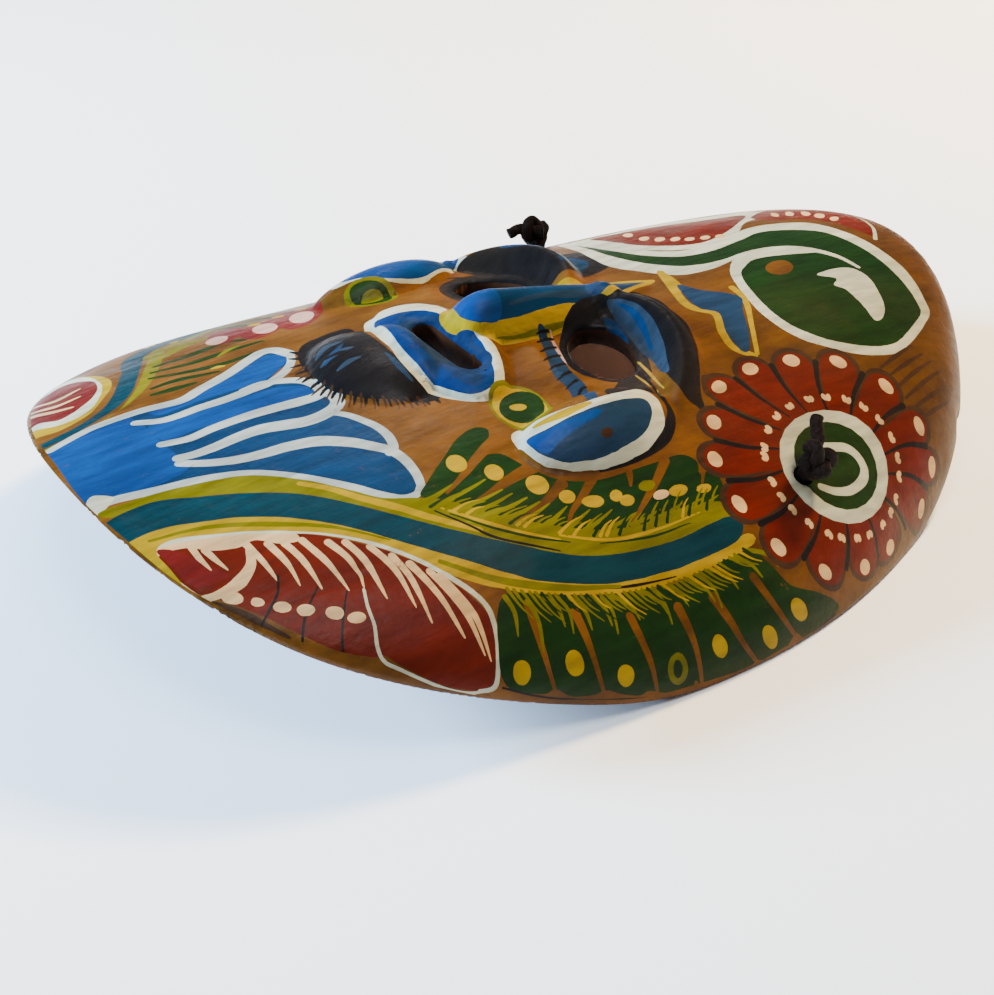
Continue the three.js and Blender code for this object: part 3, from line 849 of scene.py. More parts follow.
def near_upper_fringe():
    """Green leaves that point at the cheek, with olive hairs and yellow dots."""
    area("green",
        (60.5, -46.2), (64.4, -42.8), (71.1, -38.2), (77.6, -34), (82.6, -32.8), (84.9, -34.9),
        (82.2, -38.6), (78.1, -41.2), (82.9, -42.6), (86.2, -49.2), (90.5, -54.5), (98.9, -58),
        (109.2, -58.5), (113.9, -58.7), (117.7, -58.7), (121.4, -59.2), (123.5, -62.3), (122.1, -65.3),
        (125.7, -65.4), (126.1, -68.9), (122.9, -73.4), (111.2, -72.4), (97.9, -71), (86.9, -67.3),
        (77.6, -61.7), (70.8, -56.7), (65.1, -50.2),
    )
    strokes("clay",
        ((3.6, 2.2, 0.7), (87.2, -37.4), (78.8, -40.9), (71.6, -44.9), (65.9, -47.8)),
        ((3.5, 2.2, 0.7), (86.8, -49.1), (80.4, -50.1), (74.1, -51.7), (69.1, -52.8)),
        ((2.7, 1.8, 0.7), (90.3, -55.6), (84.8, -58.1), (80.1, -59.6), (76, -60.2)),
        ((2.2, 1.5, 0.6), (97.2, -57.3), (92.3, -60.3), (87.9, -62.8), (84.6, -65.9)),
        ((1.7, 1.5, 0.7), (107.2, -57.4), (105.9, -59.9), (104.6, -62)),
        ((2.2, 1.7, 0.6), (116.5, -59.1), (110.8, -63.3), (105.2, -66.8), (99.5, -70)),
        ((1.5, 1, 0.5), (124.2, -63.8), (122.5, -66), (121, -67.8)),
    )
    strokes("olive",
        ((1.4, 1.1, 0.4), (60.6, -47.6), (63.6, -47.4), (68.3, -46)),
        ((1.4, 1.1, 0.4), (63.2, -49.3), (68.4, -49.2), (75.5, -47.9)),
        ((1.3, 1, 0.4), (66.2, -52.4), (70.7, -52.7), (77.1, -51.9)),
        ((1.3, 1, 0.4), (68.4, -54.6), (72.5, -54.7), (78.5, -53.7)),
        ((1.3, 1, 0.4), (71, -56.4), (75, -56.7), (80.8, -55.9)),
        ((1.2, 1, 0.4), (73.6, -58.9), (77.3, -58.9), (82.8, -57.9)),
        ((1.2, 0.9, 0.3), (76.3, -60.6), (79.4, -60.4), (84.4, -59.1)),
        ((1.1, 0.9, 0.3), (80.2, -63.6), (83, -62.9), (87.6, -61.2)),
        ((1.1, 0.9, 0.3), (83.9, -65.8), (87, -65.3), (92, -63.8)),
        ((1.1, 0.9, 0.3), (87.9, -67.7), (91.4, -67.2), (96.7, -65.7)),
        ((1.2, 0.9, 0.3), (92.3, -69.1), (96, -69.2), (101.5, -68.4)),
        ((1.2, 0.9, 0.3), (98.8, -70.6), (102.1, -70.6), (107.3, -69.8)),
        ((1.2, 0.9, 0.3), (104, -71.2), (107.6, -71.3), (113.1, -70.5)),
        ((1.2, 0.9, 0.3), (109.3, -71.7), (113, -71.9), (118.6, -71.1)),
        ((1.2, 0.9, 0.3), (114.5, -72.6), (117.7, -72.7), (122.9, -71.7)),
    )
    spots("yellow",
        ((72.7, -40.9), (2.8, 2.3), 70), ((78.4, -46.9), (2.4, 2.1), 68), ((85, -53.7), (2.7, 2.5), 48),
        ((89.2, -59), (2, 1.7), 8), ((93.9, -62.3), (2.6, 1.6), -13), ((99.8, -63), (1.7, 1.3), 33),
        ((101.4, -65), (1.9, 1.4), 0),
    )
    spot("olive", (108.1, -63.4), (2.1, 1.4), 2)
    spot("cream", (109.8, -66.7), (2.1, 1.2), -2)
    spots("yellow",
        ((114.3, -67.3), (2.5, 1.5), -1), ((120.6, -69), (2, 1.1), -2),
    )


def forehead_paisley():
    """Green leaf that curls from between the brows round the forehead."""
    area("white",
        (161.9, 46), (166.6, 33.6), (167.7, 17.5), (174.3, 9.1), (184.5, 8.4), (195.4, 10.8),
        (203.8, 11.2), (214.5, 7.1), (219.2, 0.6), (222.4, -11.6), (223.2, -24.6), (220.7, -35.2),
        (217.3, -40.8), (202.2, -48.5), (194.5, -49.6), (186.2, -47.8), (179.2, -43.9), (173.4, -38.9),
        (170.4, -31.6), (170.7, -22.8), (174.4, -11.2), (179.1, -5.6), (184.2, -3.2), (174.1, -5.3),
        (164.1, -3.5), (157.4, 4.4), (153.7, 16.2),
    )
    area("green",
        (161.5, 37.8), (161.5, 26.8), (164.6, 13.7), (171.6, 5.7), (180.8, 3.9), (191.8, 5.6),
        (200.5, 6.9), (210.1, 2.6), (215.6, -3.3), (218.2, -14.5), (218.6, -26.5), (216.9, -36),
        (214.1, -40.4), (201.4, -46.3), (194.8, -47), (188.1, -45.4), (181, -41.8), (175.6, -36.4),
        (173.4, -30.4), (173.8, -21.9), (176.8, -12.6), (181.4, -8.4), (187.4, -6.5), (196.9, -8.3),
        (205.5, -10.5), (199.8, -5.1), (189.8, -1.5), (177.4, -2.5), (167.5, 0.7), (161.1, 9.1),
        (158.9, 21.1),
    )
    line("white", (2.4, 2.8, 1.2),
        (181, -5.4), (186.8, -3.3), (192.7, -3.2), (199.4, -5.5), (204.6, -9.4), (208.1, -14.5),
        (209.8, -20.4),
    )
    area("white",
        (195.7, -19.9), (201.2, -18.9), (207.2, -20.1), (209.2, -24.5), (207.5, -30.5), (204.7, -36),
        (200.9, -39.4), (198.3, -39.5), (198.6, -35.6), (198.8, -31.4), (198.5, -27.5), (196.8, -25.2),
        (199.6, -22.9),
    )
    spot("clay", (188.9, -13), (4.7, 3.1), 19)
    line("yellow", (2, 2.4, 1.8),
        (161.1, 0.8), (157.1, -10.3), (155.7, -17.7), (159.3, -23.1), (156.2, -29.6), (155.2, -35.2),
        (158.4, -39.5),
    )
    line("yellow", (2, 1.4, 1.1), (170.9, -15.7), (170.1, -21.6), (164.1, -31.5), (159.5, -39.2))
    area("yellow", (161.4, 2.1), (161.7, -3.4), (160.3, -9), (156.5, -12.1), (157.1, -7))
    area("chevron",
        (159.9, -7.5), (163.2, -12.5), (169.7, -19.4), (166.2, -25.5), (159.6, -36.3), (156.4, -37.2),
        (156.9, -30.3), (160.2, -23.5), (157.4, -19.6), (157.4, -14.9),
    )


def nose_paint():
    """Blue ridge of the nose over a yellow underside, with a painted highlight in lighter blue at its tip.
    """
    area("yellow",
        (99.5, -1), (98.5, 4), (101, 10), (112, 13), (125, 12), (140, 7), (154, 0), (156.5, -2.8),
        (147, -5.5), (138, -9), (130, -9.2), (124, -9.6), (116.5, -9.6), (110, -8.8), (104, -7),
    )
    area("deep",
        (101.5, -2), (101, 3), (104, 8.5), (112, 11), (125, 9.5), (140, 4), (152, -1.2), (153, -2.2),
        (138, -6.3), (126, -5.2), (118, -5.8), (111.5, -5.6), (105, -4.6),
    )
    # Lighter blue at the nose tip: a painted highlight
    area("blue", (101.5, -2), (101, 3), (103.5, 8), (110, 9.5), (111, 3), (110, -3), (108, -5), (105, -4.6))
    line("chevron", (0.5, 2.1, 0.5), (112, -3.5), (124, -3), (136, -4), (148, -2.5))
    line("olive", (0.2, 1.2, 0.2), (106, -7), (114, -8.5), (124, -8.5), (134, -8.4))


def near_eye():
    """Lashes, blue shadow and dark lid round the near eye, and its heavy brow."""
    paint(hole_loop("eye_left", 1.9), "shadow")
    spot("dark", (127.7, -17.7), (14.6, 9.2), 50)
    area("shadow",
        (134.5, -8.4), (137.8, -9.8), (138.2, -16.5), (135.8, -25.7), (131.6, -33.9), (126.3, -38.2),
        (115.8, -44.1), (111.7, -41.9), (125.7, -30.1), (132.5, -23.3), (135.1, -14.5),
    )
    area("deep",
        (135.2, -9.9), (136.7, -12.8), (135.4, -19.4), (131.8, -25.8), (127.6, -28.2), (131, -19.8),
    )
    line("chevron", (2.1, 5.2, 2.4),
        (117.9, -8.6), (116.2, -14.7), (112.6, -24.2), (111.7, -31.4), (106.7, -44.6),
    )
    line("petal", (0.4, 1, 0.4), (120.2, -8.9), (118.3, -13.8), (116.1, -20.9))
    strokes("dark",
        ((0.5, 0.4, 0.1), (119.5, -8.8), (117.8, -8.6), (116, -8.8)),
        ((1.2, 1, 0.4), (119.5, -10.4), (117.5, -10.1), (114.8, -10.9)),
        ((1.2, 1, 0.4), (118, -13.7), (115.9, -13.7), (112.8, -15)),
        ((1.2, 1, 0.4), (116.7, -17.2), (114.4, -17.4), (111.3, -18.8)),
        ((1.2, 1, 0.4), (115.6, -20.8), (113.2, -21.4), (110.3, -22.6)),
        ((1.2, 0.9, 0.3), (114.6, -24.6), (111.9, -25.8), (109.4, -26.7)),
        ((1.1, 0.8, 0.3), (113.5, -28.9), (111.6, -29.4), (109.2, -30.5)),
        ((1, 0.7, 0.4), (113.6, -31.9), (111.8, -32.5), (105.7, -38.8)),
    )
    area("dark",
        (136.7, -7.1), (139.7, -7.9), (147.6, -5.8), (150.7, -10.3), (150.7, -17), (150.1, -24),
        (146.1, -32.2), (140.5, -40.8), (137.3, -45.5), (134.5, -51.2), (133.7, -48.2), (131.7, -46),
        (131.7, -40.5), (136.3, -28.8), (138.4, -18.2), (138, -10.8),
    )
    area("slate",
        (137.3, -8), (139.3, -9.7), (140.9, -14.7), (141.2, -19.9), (139.9, -25.4), (137.6, -30.9),
        (133.4, -37.9), (133, -36.7), (134.8, -30.1), (134.9, -25), (136.4, -17.7), (137.1, -11.1),
    )
    line("deep", (0.3, 1.3, 0.5), (138.9, -10.6), (139.8, -15.4), (139, -21.3), (137.1, -26.6))
    strokes("yellowish",
        ((0.7, 0.9, 0.2), (132, -28), (131.2, -33.7), (129.3, -41.4)),
        ((0.6, 0.8, 0.3), (128, -32.5), (128.1, -37), (128, -40.9)),
    )
    line("dark", (0.8, 1.1, 0.2), (129.3, -29.2), (129.1, -34.9), (127.1, -43))


def near_cheek():
    """White-edged blue cheek with a black stroke behind it, partly a painted outline and partly painted
    shadow of the raised cheek.
    """
    # Black stroke along the cheek's forehead end and rim side: painted outline and painted shadow of the
    # raised cheek
    line("dark", (1.6, 2.5, 0.5),
        (126.3, -38.2), (126, -44.2), (125.5, -49.2), (121.2, -53.4), (114.6, -55.7), (106.9, -56.5),
        (100.3, -56.1),
    )
    area("white",
        (88, -39.3), (91.8, -38.1), (94.7, -40.8), (103.7, -43.4), (114.9, -43.4), (121.6, -42.2),
        (123.6, -45.3), (123.1, -48.7), (121.1, -52.3), (116.5, -55), (111.4, -56.2), (105.5, -56.5),
        (99.2, -55.7), (93.7, -53.8), (89.3, -50.6), (87.3, -45.8),
    )
    area("chevron",
        (89.1, -43.8), (93.1, -45), (99.2, -45.8), (107.3, -46), (115.7, -46.1), (119.4, -46.9),
        (119.4, -49.8), (115.9, -52.9), (111.1, -54.5), (105.1, -55.1), (99.8, -54.7), (94.3, -53),
        (90, -49.5), (88.8, -46.7),
    )
    area("blue",
        (89, -44), (92.8, -45.4), (98.9, -46.3), (106.2, -46.8), (105.6, -48.3), (99.7, -48.9),
        (94.2, -49.2), (90.8, -49.5), (89.1, -47),
    )
    spot("brown", (105, -52), (1.5, 0.8), -5)
    spot("olive", (96, -31.6), (9.3, 6.7), 83)
    spot("yellow", (96, -31.6), (7.8, 6), 85)
    spot("green", (96.4, -31.4), (6.2, 5.1), 41)
    spot("yellow", (95.6, -31), (2, 1.3), -24)
    line("yellow", (1.2, 2.7, 1), (92.4, -42.2), (97.9, -43.9), (105.7, -44.4))


def goatee_and_lips():
    """Blue-black goatee with brushed hairs and a painted highlight on its chin side, and blue lips edged in
    white.
    """
    area("dark",
        (67.4, 20.3), (70.8, 24.2), (75.5, 25.2), (80.3, 25.4), (83.9, 23.4), (81.1, 10.3),
        (80.3, 1.1), (80.5, -6.2), (81.4, -12.3), (83.6, -16.4), (82.5, -19.1), (78.6, -19),
        (73.9, -15.9), (69.4, -12.6), (65.8, -7.6), (63.7, -1.1), (63.9, 6.8), (65.2, 15),
    )
    strokes("dark",
        ((1.6, 1.2, 0.6), (67.8, 20), (67.2, 21.4), (66.6, 22.8)),
        ((1.6, 1.2, 0.6), (66.5, 17.5), (65.5, 18.4), (64.5, 19.4)),
        ((1.6, 1.2, 0.6), (65.5, 14.1), (64, 14.3), (62.6, 14.6)),
        ((1.6, 1.2, 0.6), (64.8, 10.3), (63.3, 10.5), (61.5, 10.1)),
        ((1.6, 1.2, 0.6), (64.1, 6.5), (62.7, 6.5), (60.8, 5.5)),
        ((1.5, 1.2, 0.6), (63.8, 2.8), (62.5, 2.6), (60.7, 1.3)),
        ((1.3, 1, 0.5), (64.1, -0.6), (62.8, -1.2), (60.9, -2.9)),
        ((1.2, 0.9, 0.5), (64.7, -3.6), (63.8, -4), (62.3, -5.6)),
        ((1.1, 0.8, 0.4), (65.6, -6.2), (64.8, -6.7), (63.2, -8.5)),
        ((1, 0.8, 0.4), (66.8, -8.6), (66.2, -9.2), (65, -10.8)),
        ((0.9, 0.7, 0.3), (68.2, -10.7), (67.8, -11.4), (66.7, -13.1)),
        ((0.9, 0.7, 0.3), (69.9, -12.6), (69.6, -13.5), (69.1, -14.8)),
        ((0.9, 0.6, 0.4), (71.9, -14.1), (71.8, -15.1), (71.5, -16.5)),
        ((0.9, 0.6, 0.4), (74.1, -15.6), (74.2, -16.4), (74.1, -17.8)),
        ((1, 0.9, 0.5), (76.7, -16.6), (76.9, -17.5), (76.7, -19.1)),
        ((1.4, 1, 0.5), (79.1, -17.8), (79.1, -19), (79.1, -20.3)),
        ((1.4, 1, 0.5), (81.3, -18.4), (81.4, -19.6), (81.4, -20.9)),
    )
    # The slate strokes and the first chevron stroke, on the goatee's chin side, are a painted highlight
    # laid as hairs
    strokes("slate",
        ((0.8, 2.8, 0.8), (67.1, 10.5), (71, 12.5), (74.4, 11)),
        ((0.8, 2.8, 0.8), (66.1, 5.8), (70.5, 6.8), (74.1, 5.6)),
        ((0.7, 1.9, 0.8), (67.4, 0.5), (70.8, 0.8), (73.1, 0.2)),
    )
    strokes("chevron",
        ((0.8, 2, 0.8), (66.8, 5.5), (70.2, 7.3), (73.5, 9.3)),
        ((0.7, 1.9, 0.6), (78.8, -2), (78.8, -8), (79.1, -12.8)),
    )
    line("dark", (0.8, 1.6, 0.8), (68, 7.3), (70.7, 6.3), (72.8, 4.3))
    strokes("brown",
        ((1.2, 0.8, 0.4), (64.9, 12.5), (62.8, 11.6), (60.4, 11)),
        ((1.2, 0.8, 0.4), (64.3, 8.5), (62.6, 8.1), (60.2, 7.3)),
        ((1.1, 0.8, 0.4), (63.9, 0.9), (62, 0), (59.3, -1.6)),
        ((0.9, 0.6, 0.3), (64.3, -2), (62.8, -3.5), (60.4, -5.8)),
        ((0.8, 0.5, 0.3), (65, -4.9), (63.8, -6.5), (61.7, -8.9)),
        ((0.7, 0.5, 0.3), (66.2, -7.4), (65.4, -8.7), (63.4, -11.2)),
        ((0.7, 0.5, 0.2), (67.5, -9.6), (67, -10.8), (65.4, -13.2)),
        ((0.6, 0.4, 0.2), (69.1, -11.8), (69, -13.1), (67.7, -15.4)),
        ((0.6, 0.4, 0.2), (71, -13.4), (70.9, -14.7), (70, -16.4)),
        ((0.7, 0.4, 0.2), (72.9, -15), (73.2, -16.2), (72.5, -18.2)),
        ((0.7, 0.6, 0.3), (75.4, -16.1), (75.7, -17.5), (75.1, -19.5)),
        ((0.9, 0.6, 0.3), (78.1, -16.8), (78.2, -18.7), (77.9, -20.5)),
    )
    area("white",
        (86.3, 21.7), (90.3, 25.4), (93.9, 24.5), (98.2, 22.3), (101.8, 19.3), (104.2, 13.1),
        (101.2, -0.6), (103.2, -4.9), (103.4, -9.6), (100.6, -17.5), (96.6, -23.8), (92.1, -25.8),
        (88.3, -24.5), (85.4, -22.1), (82.7, -18.8), (80.6, -13.6), (80, -6.9), (81.2, 1.3), (82, 8.6),
    )
    area("lip",
        (87.6, 18.9), (90.7, 18.8), (95.1, 16.7), (98.8, 13.5), (100.7, 8.3), (100.1, -0.1),
        (101.5, -4.9), (100.3, -11), (97.8, -17.7), (94.7, -22.7), (91.1, -24), (88.1, -22.8),
        (85.9, -20), (84.5, -16.8), (83, -11.9), (82.6, -5.4), (83.2, 1.4),
    )
    paint(hole_loop("mouth", 2.4), "recess")
    area("recess",
        (87.7, 2.4), (95.3, 11), (98.1, 9.2), (99.1, 2.4), (99, -4.5), (96.7, -13.1), (92.9, -21),
        (90.3, -21.9), (88.4, -19.1), (87.5, -13.4), (86.6, -7.6), (86, -2.9),
    )


def far_side():
    """What shows of the far side, drawn on until it meets the mirrored part."""
    area("clay",
        (-3, 18), (11.3, 17.8), (26.3, 19.1), (41.7, 20.2), (62, 28.6), (69.7, 23.6), (83.5, 26.2),
        (104.7, 35.7), (121.4, 33.1), (131.7, 39.6), (128, 66), (105, 72), (84, 69), (68, 61),
        (56, 54), (50, 56), (44, 62), (30, 68), (10, 64), (-3, 40),
    )
    line("olive", (1.9, 3.3, 1.9), (40, 50), (48, 53), (58, 57), (70, 63), (85, 70), (100, 74))
    area("yellow",
        (-3, 24), (3.6, 23.8), (8.4, 23.1), (15.5, 25.6), (21, 30.4), (27.1, 38.3), (28.1, 46.4),
        (24.9, 54.7), (19.2, 58.1), (13.4, 52.6), (12, 62), (-3, 50),
    )
    area("white",
        (-3, 26), (4, 28.6), (9.7, 26.4), (17.3, 28.3), (23.1, 35.1), (26, 43.6), (24.9, 54.7),
        (19.4, 57.9), (12.6, 51.2), (10, 54), (-3, 50),
    )
    area("crimson",
        (-1, 30), (6.3, 31.9), (11.3, 29.4), (18.4, 33.1), (23.2, 38), (25.1, 45.4), (23.2, 50.4),
        (19, 53.6), (12.5, 51.4), (9, 50),
    )
    strokes("cream",
        ((1.2, 1.6, 0.6), (9.6, 46.4), (14.3, 42.8), (21.1, 44.2)),
        ((1.2, 1.6, 0.6), (7.6, 42.3), (13, 38.9), (19.2, 38.9)),
        ((1.2, 2, 0.6), (5.8, 39.5), (10.8, 36.2), (15.7, 34.1)),
    )
    area("teal",
        (-3, 19), (4, 19.8), (12.5, 22.2), (19.3, 25.9), (24.8, 31.8), (30.3, 41.2), (36.3, 52.8),
        (40.1, 58), (41.6, 55), (35.7, 41.8), (30, 31.5), (24.7, 26), (17.6, 21.7), (6.5, 17.6),
        (-3, 16),
    )
    line("teal", (5.1, 6, 6), (35, 46), (39, 54), (47, 59), (58, 62), (70, 68.5), (84, 76))
    area("olive",
        (6, 17.4), (12.7, 18.4), (19.2, 20.7), (25.4, 25.2), (31.4, 32.5), (38.1, 43.9), (43.5, 53.7),
        (45.9, 51.5), (40.3, 40.3), (33.1, 30.4), (26.1, 24.5), (19.4, 21.2), (12.5, 17.9),
    )
    strokes("green",
        ((1.2, 2.4, 1.2), (37, 37.5), (46.1, 35.5), (55.4, 35.5), (64.9, 34.6)),
        ((1.2, 2.4, 1.2), (35.1, 34.1), (43.9, 30.6), (52.3, 28.9), (60.5, 29.3)),
        ((1.2, 2.4, 1.2), (39.2, 40.9), (48.4, 40.8), (58.2, 41.7), (62.5, 39.1)),
        ((1.2, 2.4, 1.2), (33, 27.9), (38.8, 27.9), (44.6, 26.4), (48.7, 25.2)),
        ((1.2, 2.4, 1.2), (31.6, 24.6), (36.9, 23.6), (41.8, 23.1)),
    )
    line("yellow", (0.8, 1.6, 0.8), (48.5, 28), (50, 28), (51.3, 27.4))
    strokes("olive",
        ((0.8, 1.6, 0.8), (52.7, 33.9), (56.5, 36.1), (59.4, 36.5)),
        ((1.6, 2.8, 1.6), (42.4, 45.5), (50.7, 49.4), (57.9, 50.3)),
        ((1.6, 2.8, 1.6), (46.7, 49.5), (52.6, 50.7), (56.3, 49.9)),
    )
    spots("crimson",
        ((60.8, 47.5), (7.6, 4.4), 53), ((69.5, 44.2), (8.5, 5.2), 48), ((80.5, 44.7), (10.9, 5.6), 53),
        ((92.4, 55.9), (7.2, 4.3), 70), ((79, 51.5), (9.2, 3.8), 52),
    )
    spots("petal",
        ((57.7, 45.4), (3.4, 2.8), 50), ((70, 43.4), (4.8, 3.2), 71), ((80.6, 44), (6, 3.2), 65),
        ((93.7, 58.3), (4.7, 2.5), 52),
    )
    area("white",
        (95.8, 46.2), (97.9, 45.5), (100.4, 42.6), (106.9, 39.4), (114.2, 39), (122.2, 42.1),
        (130, 44.4), (130.6, 45.6), (128, 62), (100, 64), (92, 50),
    )
    area("blue",
        (98.9, 45.2), (102.7, 42.3), (107.5, 40.3), (113.8, 39.8), (120.9, 42.5), (129.5, 47.2),
        (126, 58), (102, 60), (95, 50),
    )
    spot("olive", (98.4, 39.6), (7, 5.1), -35)
    spot("green", (98.4, 39.6), (5.6, 3.7), -40)
    spot("olive", (98.4, 39), (3, 1.8), -10)
    # Painted shade round the far eye hole, darkest next to it
    paint(hole_loop("eye_right", 4.2), "shadow")
    paint(hole_loop("eye_right", 2.2), "dark")
    area("dark",
        (127, 44), (133, 44), (141, 38), (150, 33), (158, 27), (159, 19), (155, 13), (146, 10.5),
        (134, 12), (131, 16), (135, 21), (135, 29), (129, 37),
    )
    area("deep", (137, 38), (144, 34), (150, 28), (152, 20), (148, 15), (141, 15), (143, 22), (141, 30))
    strokes("dark",
        ((1, 1, 0.6), (128.3, 40.1), (126.9, 42), (125.9, 44.4)),
        ((1, 1, 0.6), (126, 37.6), (124.1, 39.2), (122, 40.4)),
        ((1, 1, 0.6), (123.7, 34.5), (121.4, 35.9), (118.9, 37)),
        ((1, 1, 0.6), (121.6, 30.9), (119.1, 31.4), (116.1, 31.4)),
        ((1, 1, 0.6), (120.2, 26.7), (117.1, 26.2), (113.8, 25)),
        ((0.8, 1, 0.6), (105.5, 0.7), (117.2, 21.8), (102.7, 2)),
    )
    area("red",
        (164.8, 44.9), (174.1, 42.7), (186, 40.4), (197.2, 36), (207.1, 32.7), (216, 28.3),
        (204.5, 19.2), (196.8, 12.1), (186.1, 9), (178.6, 10.3), (172.9, 15.7), (168.8, 23.2),
        (171.2, 39.5),
    )
    area("white",
        (162.9, 45.2), (173.1, 42.8), (185.5, 41.2), (196.8, 37.8), (204.8, 33.5), (216, 28.3),
        (212.4, 19.4), (202.5, 16), (195.4, 10.8), (184.6, 7.3), (177.2, 8.5), (170.9, 13.1),
        (166.4, 20.2), (166.6, 33.6),
    )
    area("red",
        (169, 41.1), (177, 38.6), (188, 34.6), (197.3, 28.9), (209.3, 23.8), (198.5, 15.5),
        (186.6, 10.8), (179.6, 11.5), (173.4, 16.3), (169.2, 23.9),
    )
    area("red",
        (208.1, 20.4), (219, 25.6), (225.5, 18.6), (230.8, 13), (234.6, 8.1), (230.3, -4.2),
        (226.8, -8.9), (224.9, -3), (222.3, 3.9), (217.1, 10), (209.5, 13.9),
    )
    line("white", (1.2, 0, 1.2),
        (205, 18.6), (219, 25.6), (225.5, 18.6), (230.8, 13), (234.3, 6.7), (232.1, -2.8),
        (226.1, -10),
    )
    spots("cream",
        ((176, 33.2), (2.8, 1.3), 60), ((175.4, 25.4), (2.2, 1.3), 53), ((177.4, 21.3), (2.2, 1.3), 45),
        ((180.1, 18.2), (2, 1.3), 41), ((182.7, 15.3), (1.7, 1.3), 40), ((186.3, 13.3), (1.8, 1.3), 34),
        ((189.8, 11.3), (1.8, 1.3), 30), ((215, 17.7), (2.6, 1.1), 60), ((219, 16.1), (3, 1.2), 51),
        ((222.8, 13.8), (2.9, 1.2), 53), ((224.3, 9.8), (2.7, 1.4), 42), ((225.9, 5.6), (2.5, 1.1), 39),
    )


# Edges of the bands that the fine hairs start from
LOWER_EDGE = [
    (61.9, -73.5), (67.2, -76.7), (74, -80), (81.4, -82.7),
    (90.9, -85.2), (101.3, -86.8), (112.9, -87.2), (123.5, -86.2),
]
UPPER_EDGE = [
    (60.2, -47.8), (64.4, -51.2), (70.7, -56.8), (77.4, -61.9),
    (86.7, -67.5), (97.9, -71), (111.3, -72.2), (121.5, -72.9),
]


def band_hairs():
    """Fine brushed hairs from both edges of the bands into the green fringes."""
    for edge, side in ((LOWER_EDGE, -1), (UPPER_EDGE, 1)):
        path = smooth_loop(edge, closed=False, step=0.5)
        along = np.gradient(path, axis=0)
        along /= np.linalg.norm(along, axis=1)[:, None]
        away = np.stack([-along[:, 1], along[:, 0]], -1) * side
        for k in range(4, len(path) - 4, 3):
            reach = 5.5 + RNG.uniform(-1.5, 2.5)
            start = path[k] - away[k] * 1.2
            tip = start + away[k] * reach * 0.75 + along[k] * reach * 0.75
            middle = (start + tip) / 2 + away[k] * 0.6
            colour = ("yellow", "olive", "olive", "green", "olive")[RNG.integers(5)]
            line(colour, (0.8, 0.55, 0.2), start, middle, tip)


# Flower round a cord hole: its middle, and how much the brush drew it out along its turned length
FLOWER = (160.8, -73.0)
FLOWER_TURN = 10
PETAL_TIPS = [
    (143.2, -45.0), (134.8, -54.0), (128.3, -63.1), (126.8, -75.3), (131.0, -87.6),
    (142.7, -96.1), (158.8, -97.6), (172.1, -94.2), (190.7, -85.8), (196.9, -76.8),
    (194.0, -67.8), (188.1, -57.2), (178.5, -48.2), (166.4, -44.1), (154.6, -42.7),
]


def petal(colour, centre, tip, width, grow):
    """Petal from the ring to just past its tip dot, widest near the end."""
    reach = np.array(tip) - centre
    across = np.array([-reach[1], reach[0]]) / np.linalg.norm(reach)
    outline = [(0.3, 0.2), (0.65, 0.33), (0.9, 0.42), (1.04, 0.32), (1.1, 0.0)]
    outline += [(a, -w) for a, w in outline[-2::-1]]
    points = [centre + reach * a * (1 + grow * 0.02) + across * w * (width + grow) for a, w in outline]
    paint(smooth_loop(points, step=0.8), colour)


def flower(centre=FLOWER, scale=1.0):
    """Red petals with cream tips round a ring, a ring of dots, and a white curl on green."""
    middle = np.array(centre)
    tips = [middle + (np.array(tip) - FLOWER) * scale for tip in PETAL_TIPS]
    count = len(tips)
    spread = [np.linalg.norm(tips[(k + 1) % count] - tips[k - 1]) / 2 for k in range(count)]
    for tip, width in zip(tips, spread):
        petal("brown", middle, tip, width, 1.6 * scale)
    for tip, width in zip(tips, spread):
        petal("red", middle, tip, width, -0.6 * scale)
    for k, tip in enumerate(tips):
        gap = (tip + tips[k - 1]) / 2 - middle
        bend = np.array([-gap[1], gap[0]]) * 0.03
        line("dark", (0.5 * scale, 1.1 * scale, 1.6 * scale),
             middle + gap * 0.5, middle + gap * 0.75 + bend, middle + gap * 0.99)
    for tip in tips:
        turn = math.degrees(math.atan2(*(tip - middle)[::-1]))
        spot("cream", tip, (2.3 * scale, 1.8 * scale), turn + 90)
    turn = math.radians(FLOWER_TURN)
    long_way = np.array([math.cos(turn), math.sin(turn)])
    short_way = np.array([-math.sin(turn), math.cos(turn)])
    for k in range(24):
        a = k / 24 * 2 * math.pi + RNG.normal(0, 0.03)
        place = middle + scale * (21.6 * math.cos(a) * long_way + 17.2 * math.sin(a) * short_way)
        heading = math.atan2(*(place - middle)[::-1])
        for side in (-0.45, 0.45):
            toward = heading + side * 2
            lobe = place + 0.7 * scale * np.array([math.cos(toward), math.sin(toward)])
            spot("cream", lobe, (1.0 * scale, 0.75 * scale), math.degrees(heading) + side * 60)
    spot("white", middle, (17.6 * scale, 14.4 * scale), FLOWER_TURN)
    spot("green", middle, (13.4 * scale, 11.2 * scale), FLOWER_TURN)
    curl = [
        (-1.0, 4.8), (4.9, 3.6), (7.6, 1.1), (8.0, -2.3),
        (5.6, -5.0), (0.0, -6.7), (-5.1, -6.2), (-9.0, -4.3),
    ]
    line("white", (2.4 * scale, 2.7 * scale, 1.8 * scale), *[middle + scale * np.array(p) for p in curl])


def hidden_far_details():
    """Guess of what the far side has where the photo doesn't show it."""
    for k in range(9):
        u, v = 62 + 7.5 * k, 58 + 1.9 * k
        line("green", (1.0, 3.6, 1.0), (u, v), (u + 5, v - 3.5), (u + 8, v - 9))
        line("olive", (0.6, 1.0, 0.4), (u + 3, v), (u + 7, v - 3), (u + 11, v - 8))
        spot("yellow", (u + 8, v - 8), (1.8, 1.3), -40)
    mirrored(lambda: flower((167.5, -63.5), 0.56))


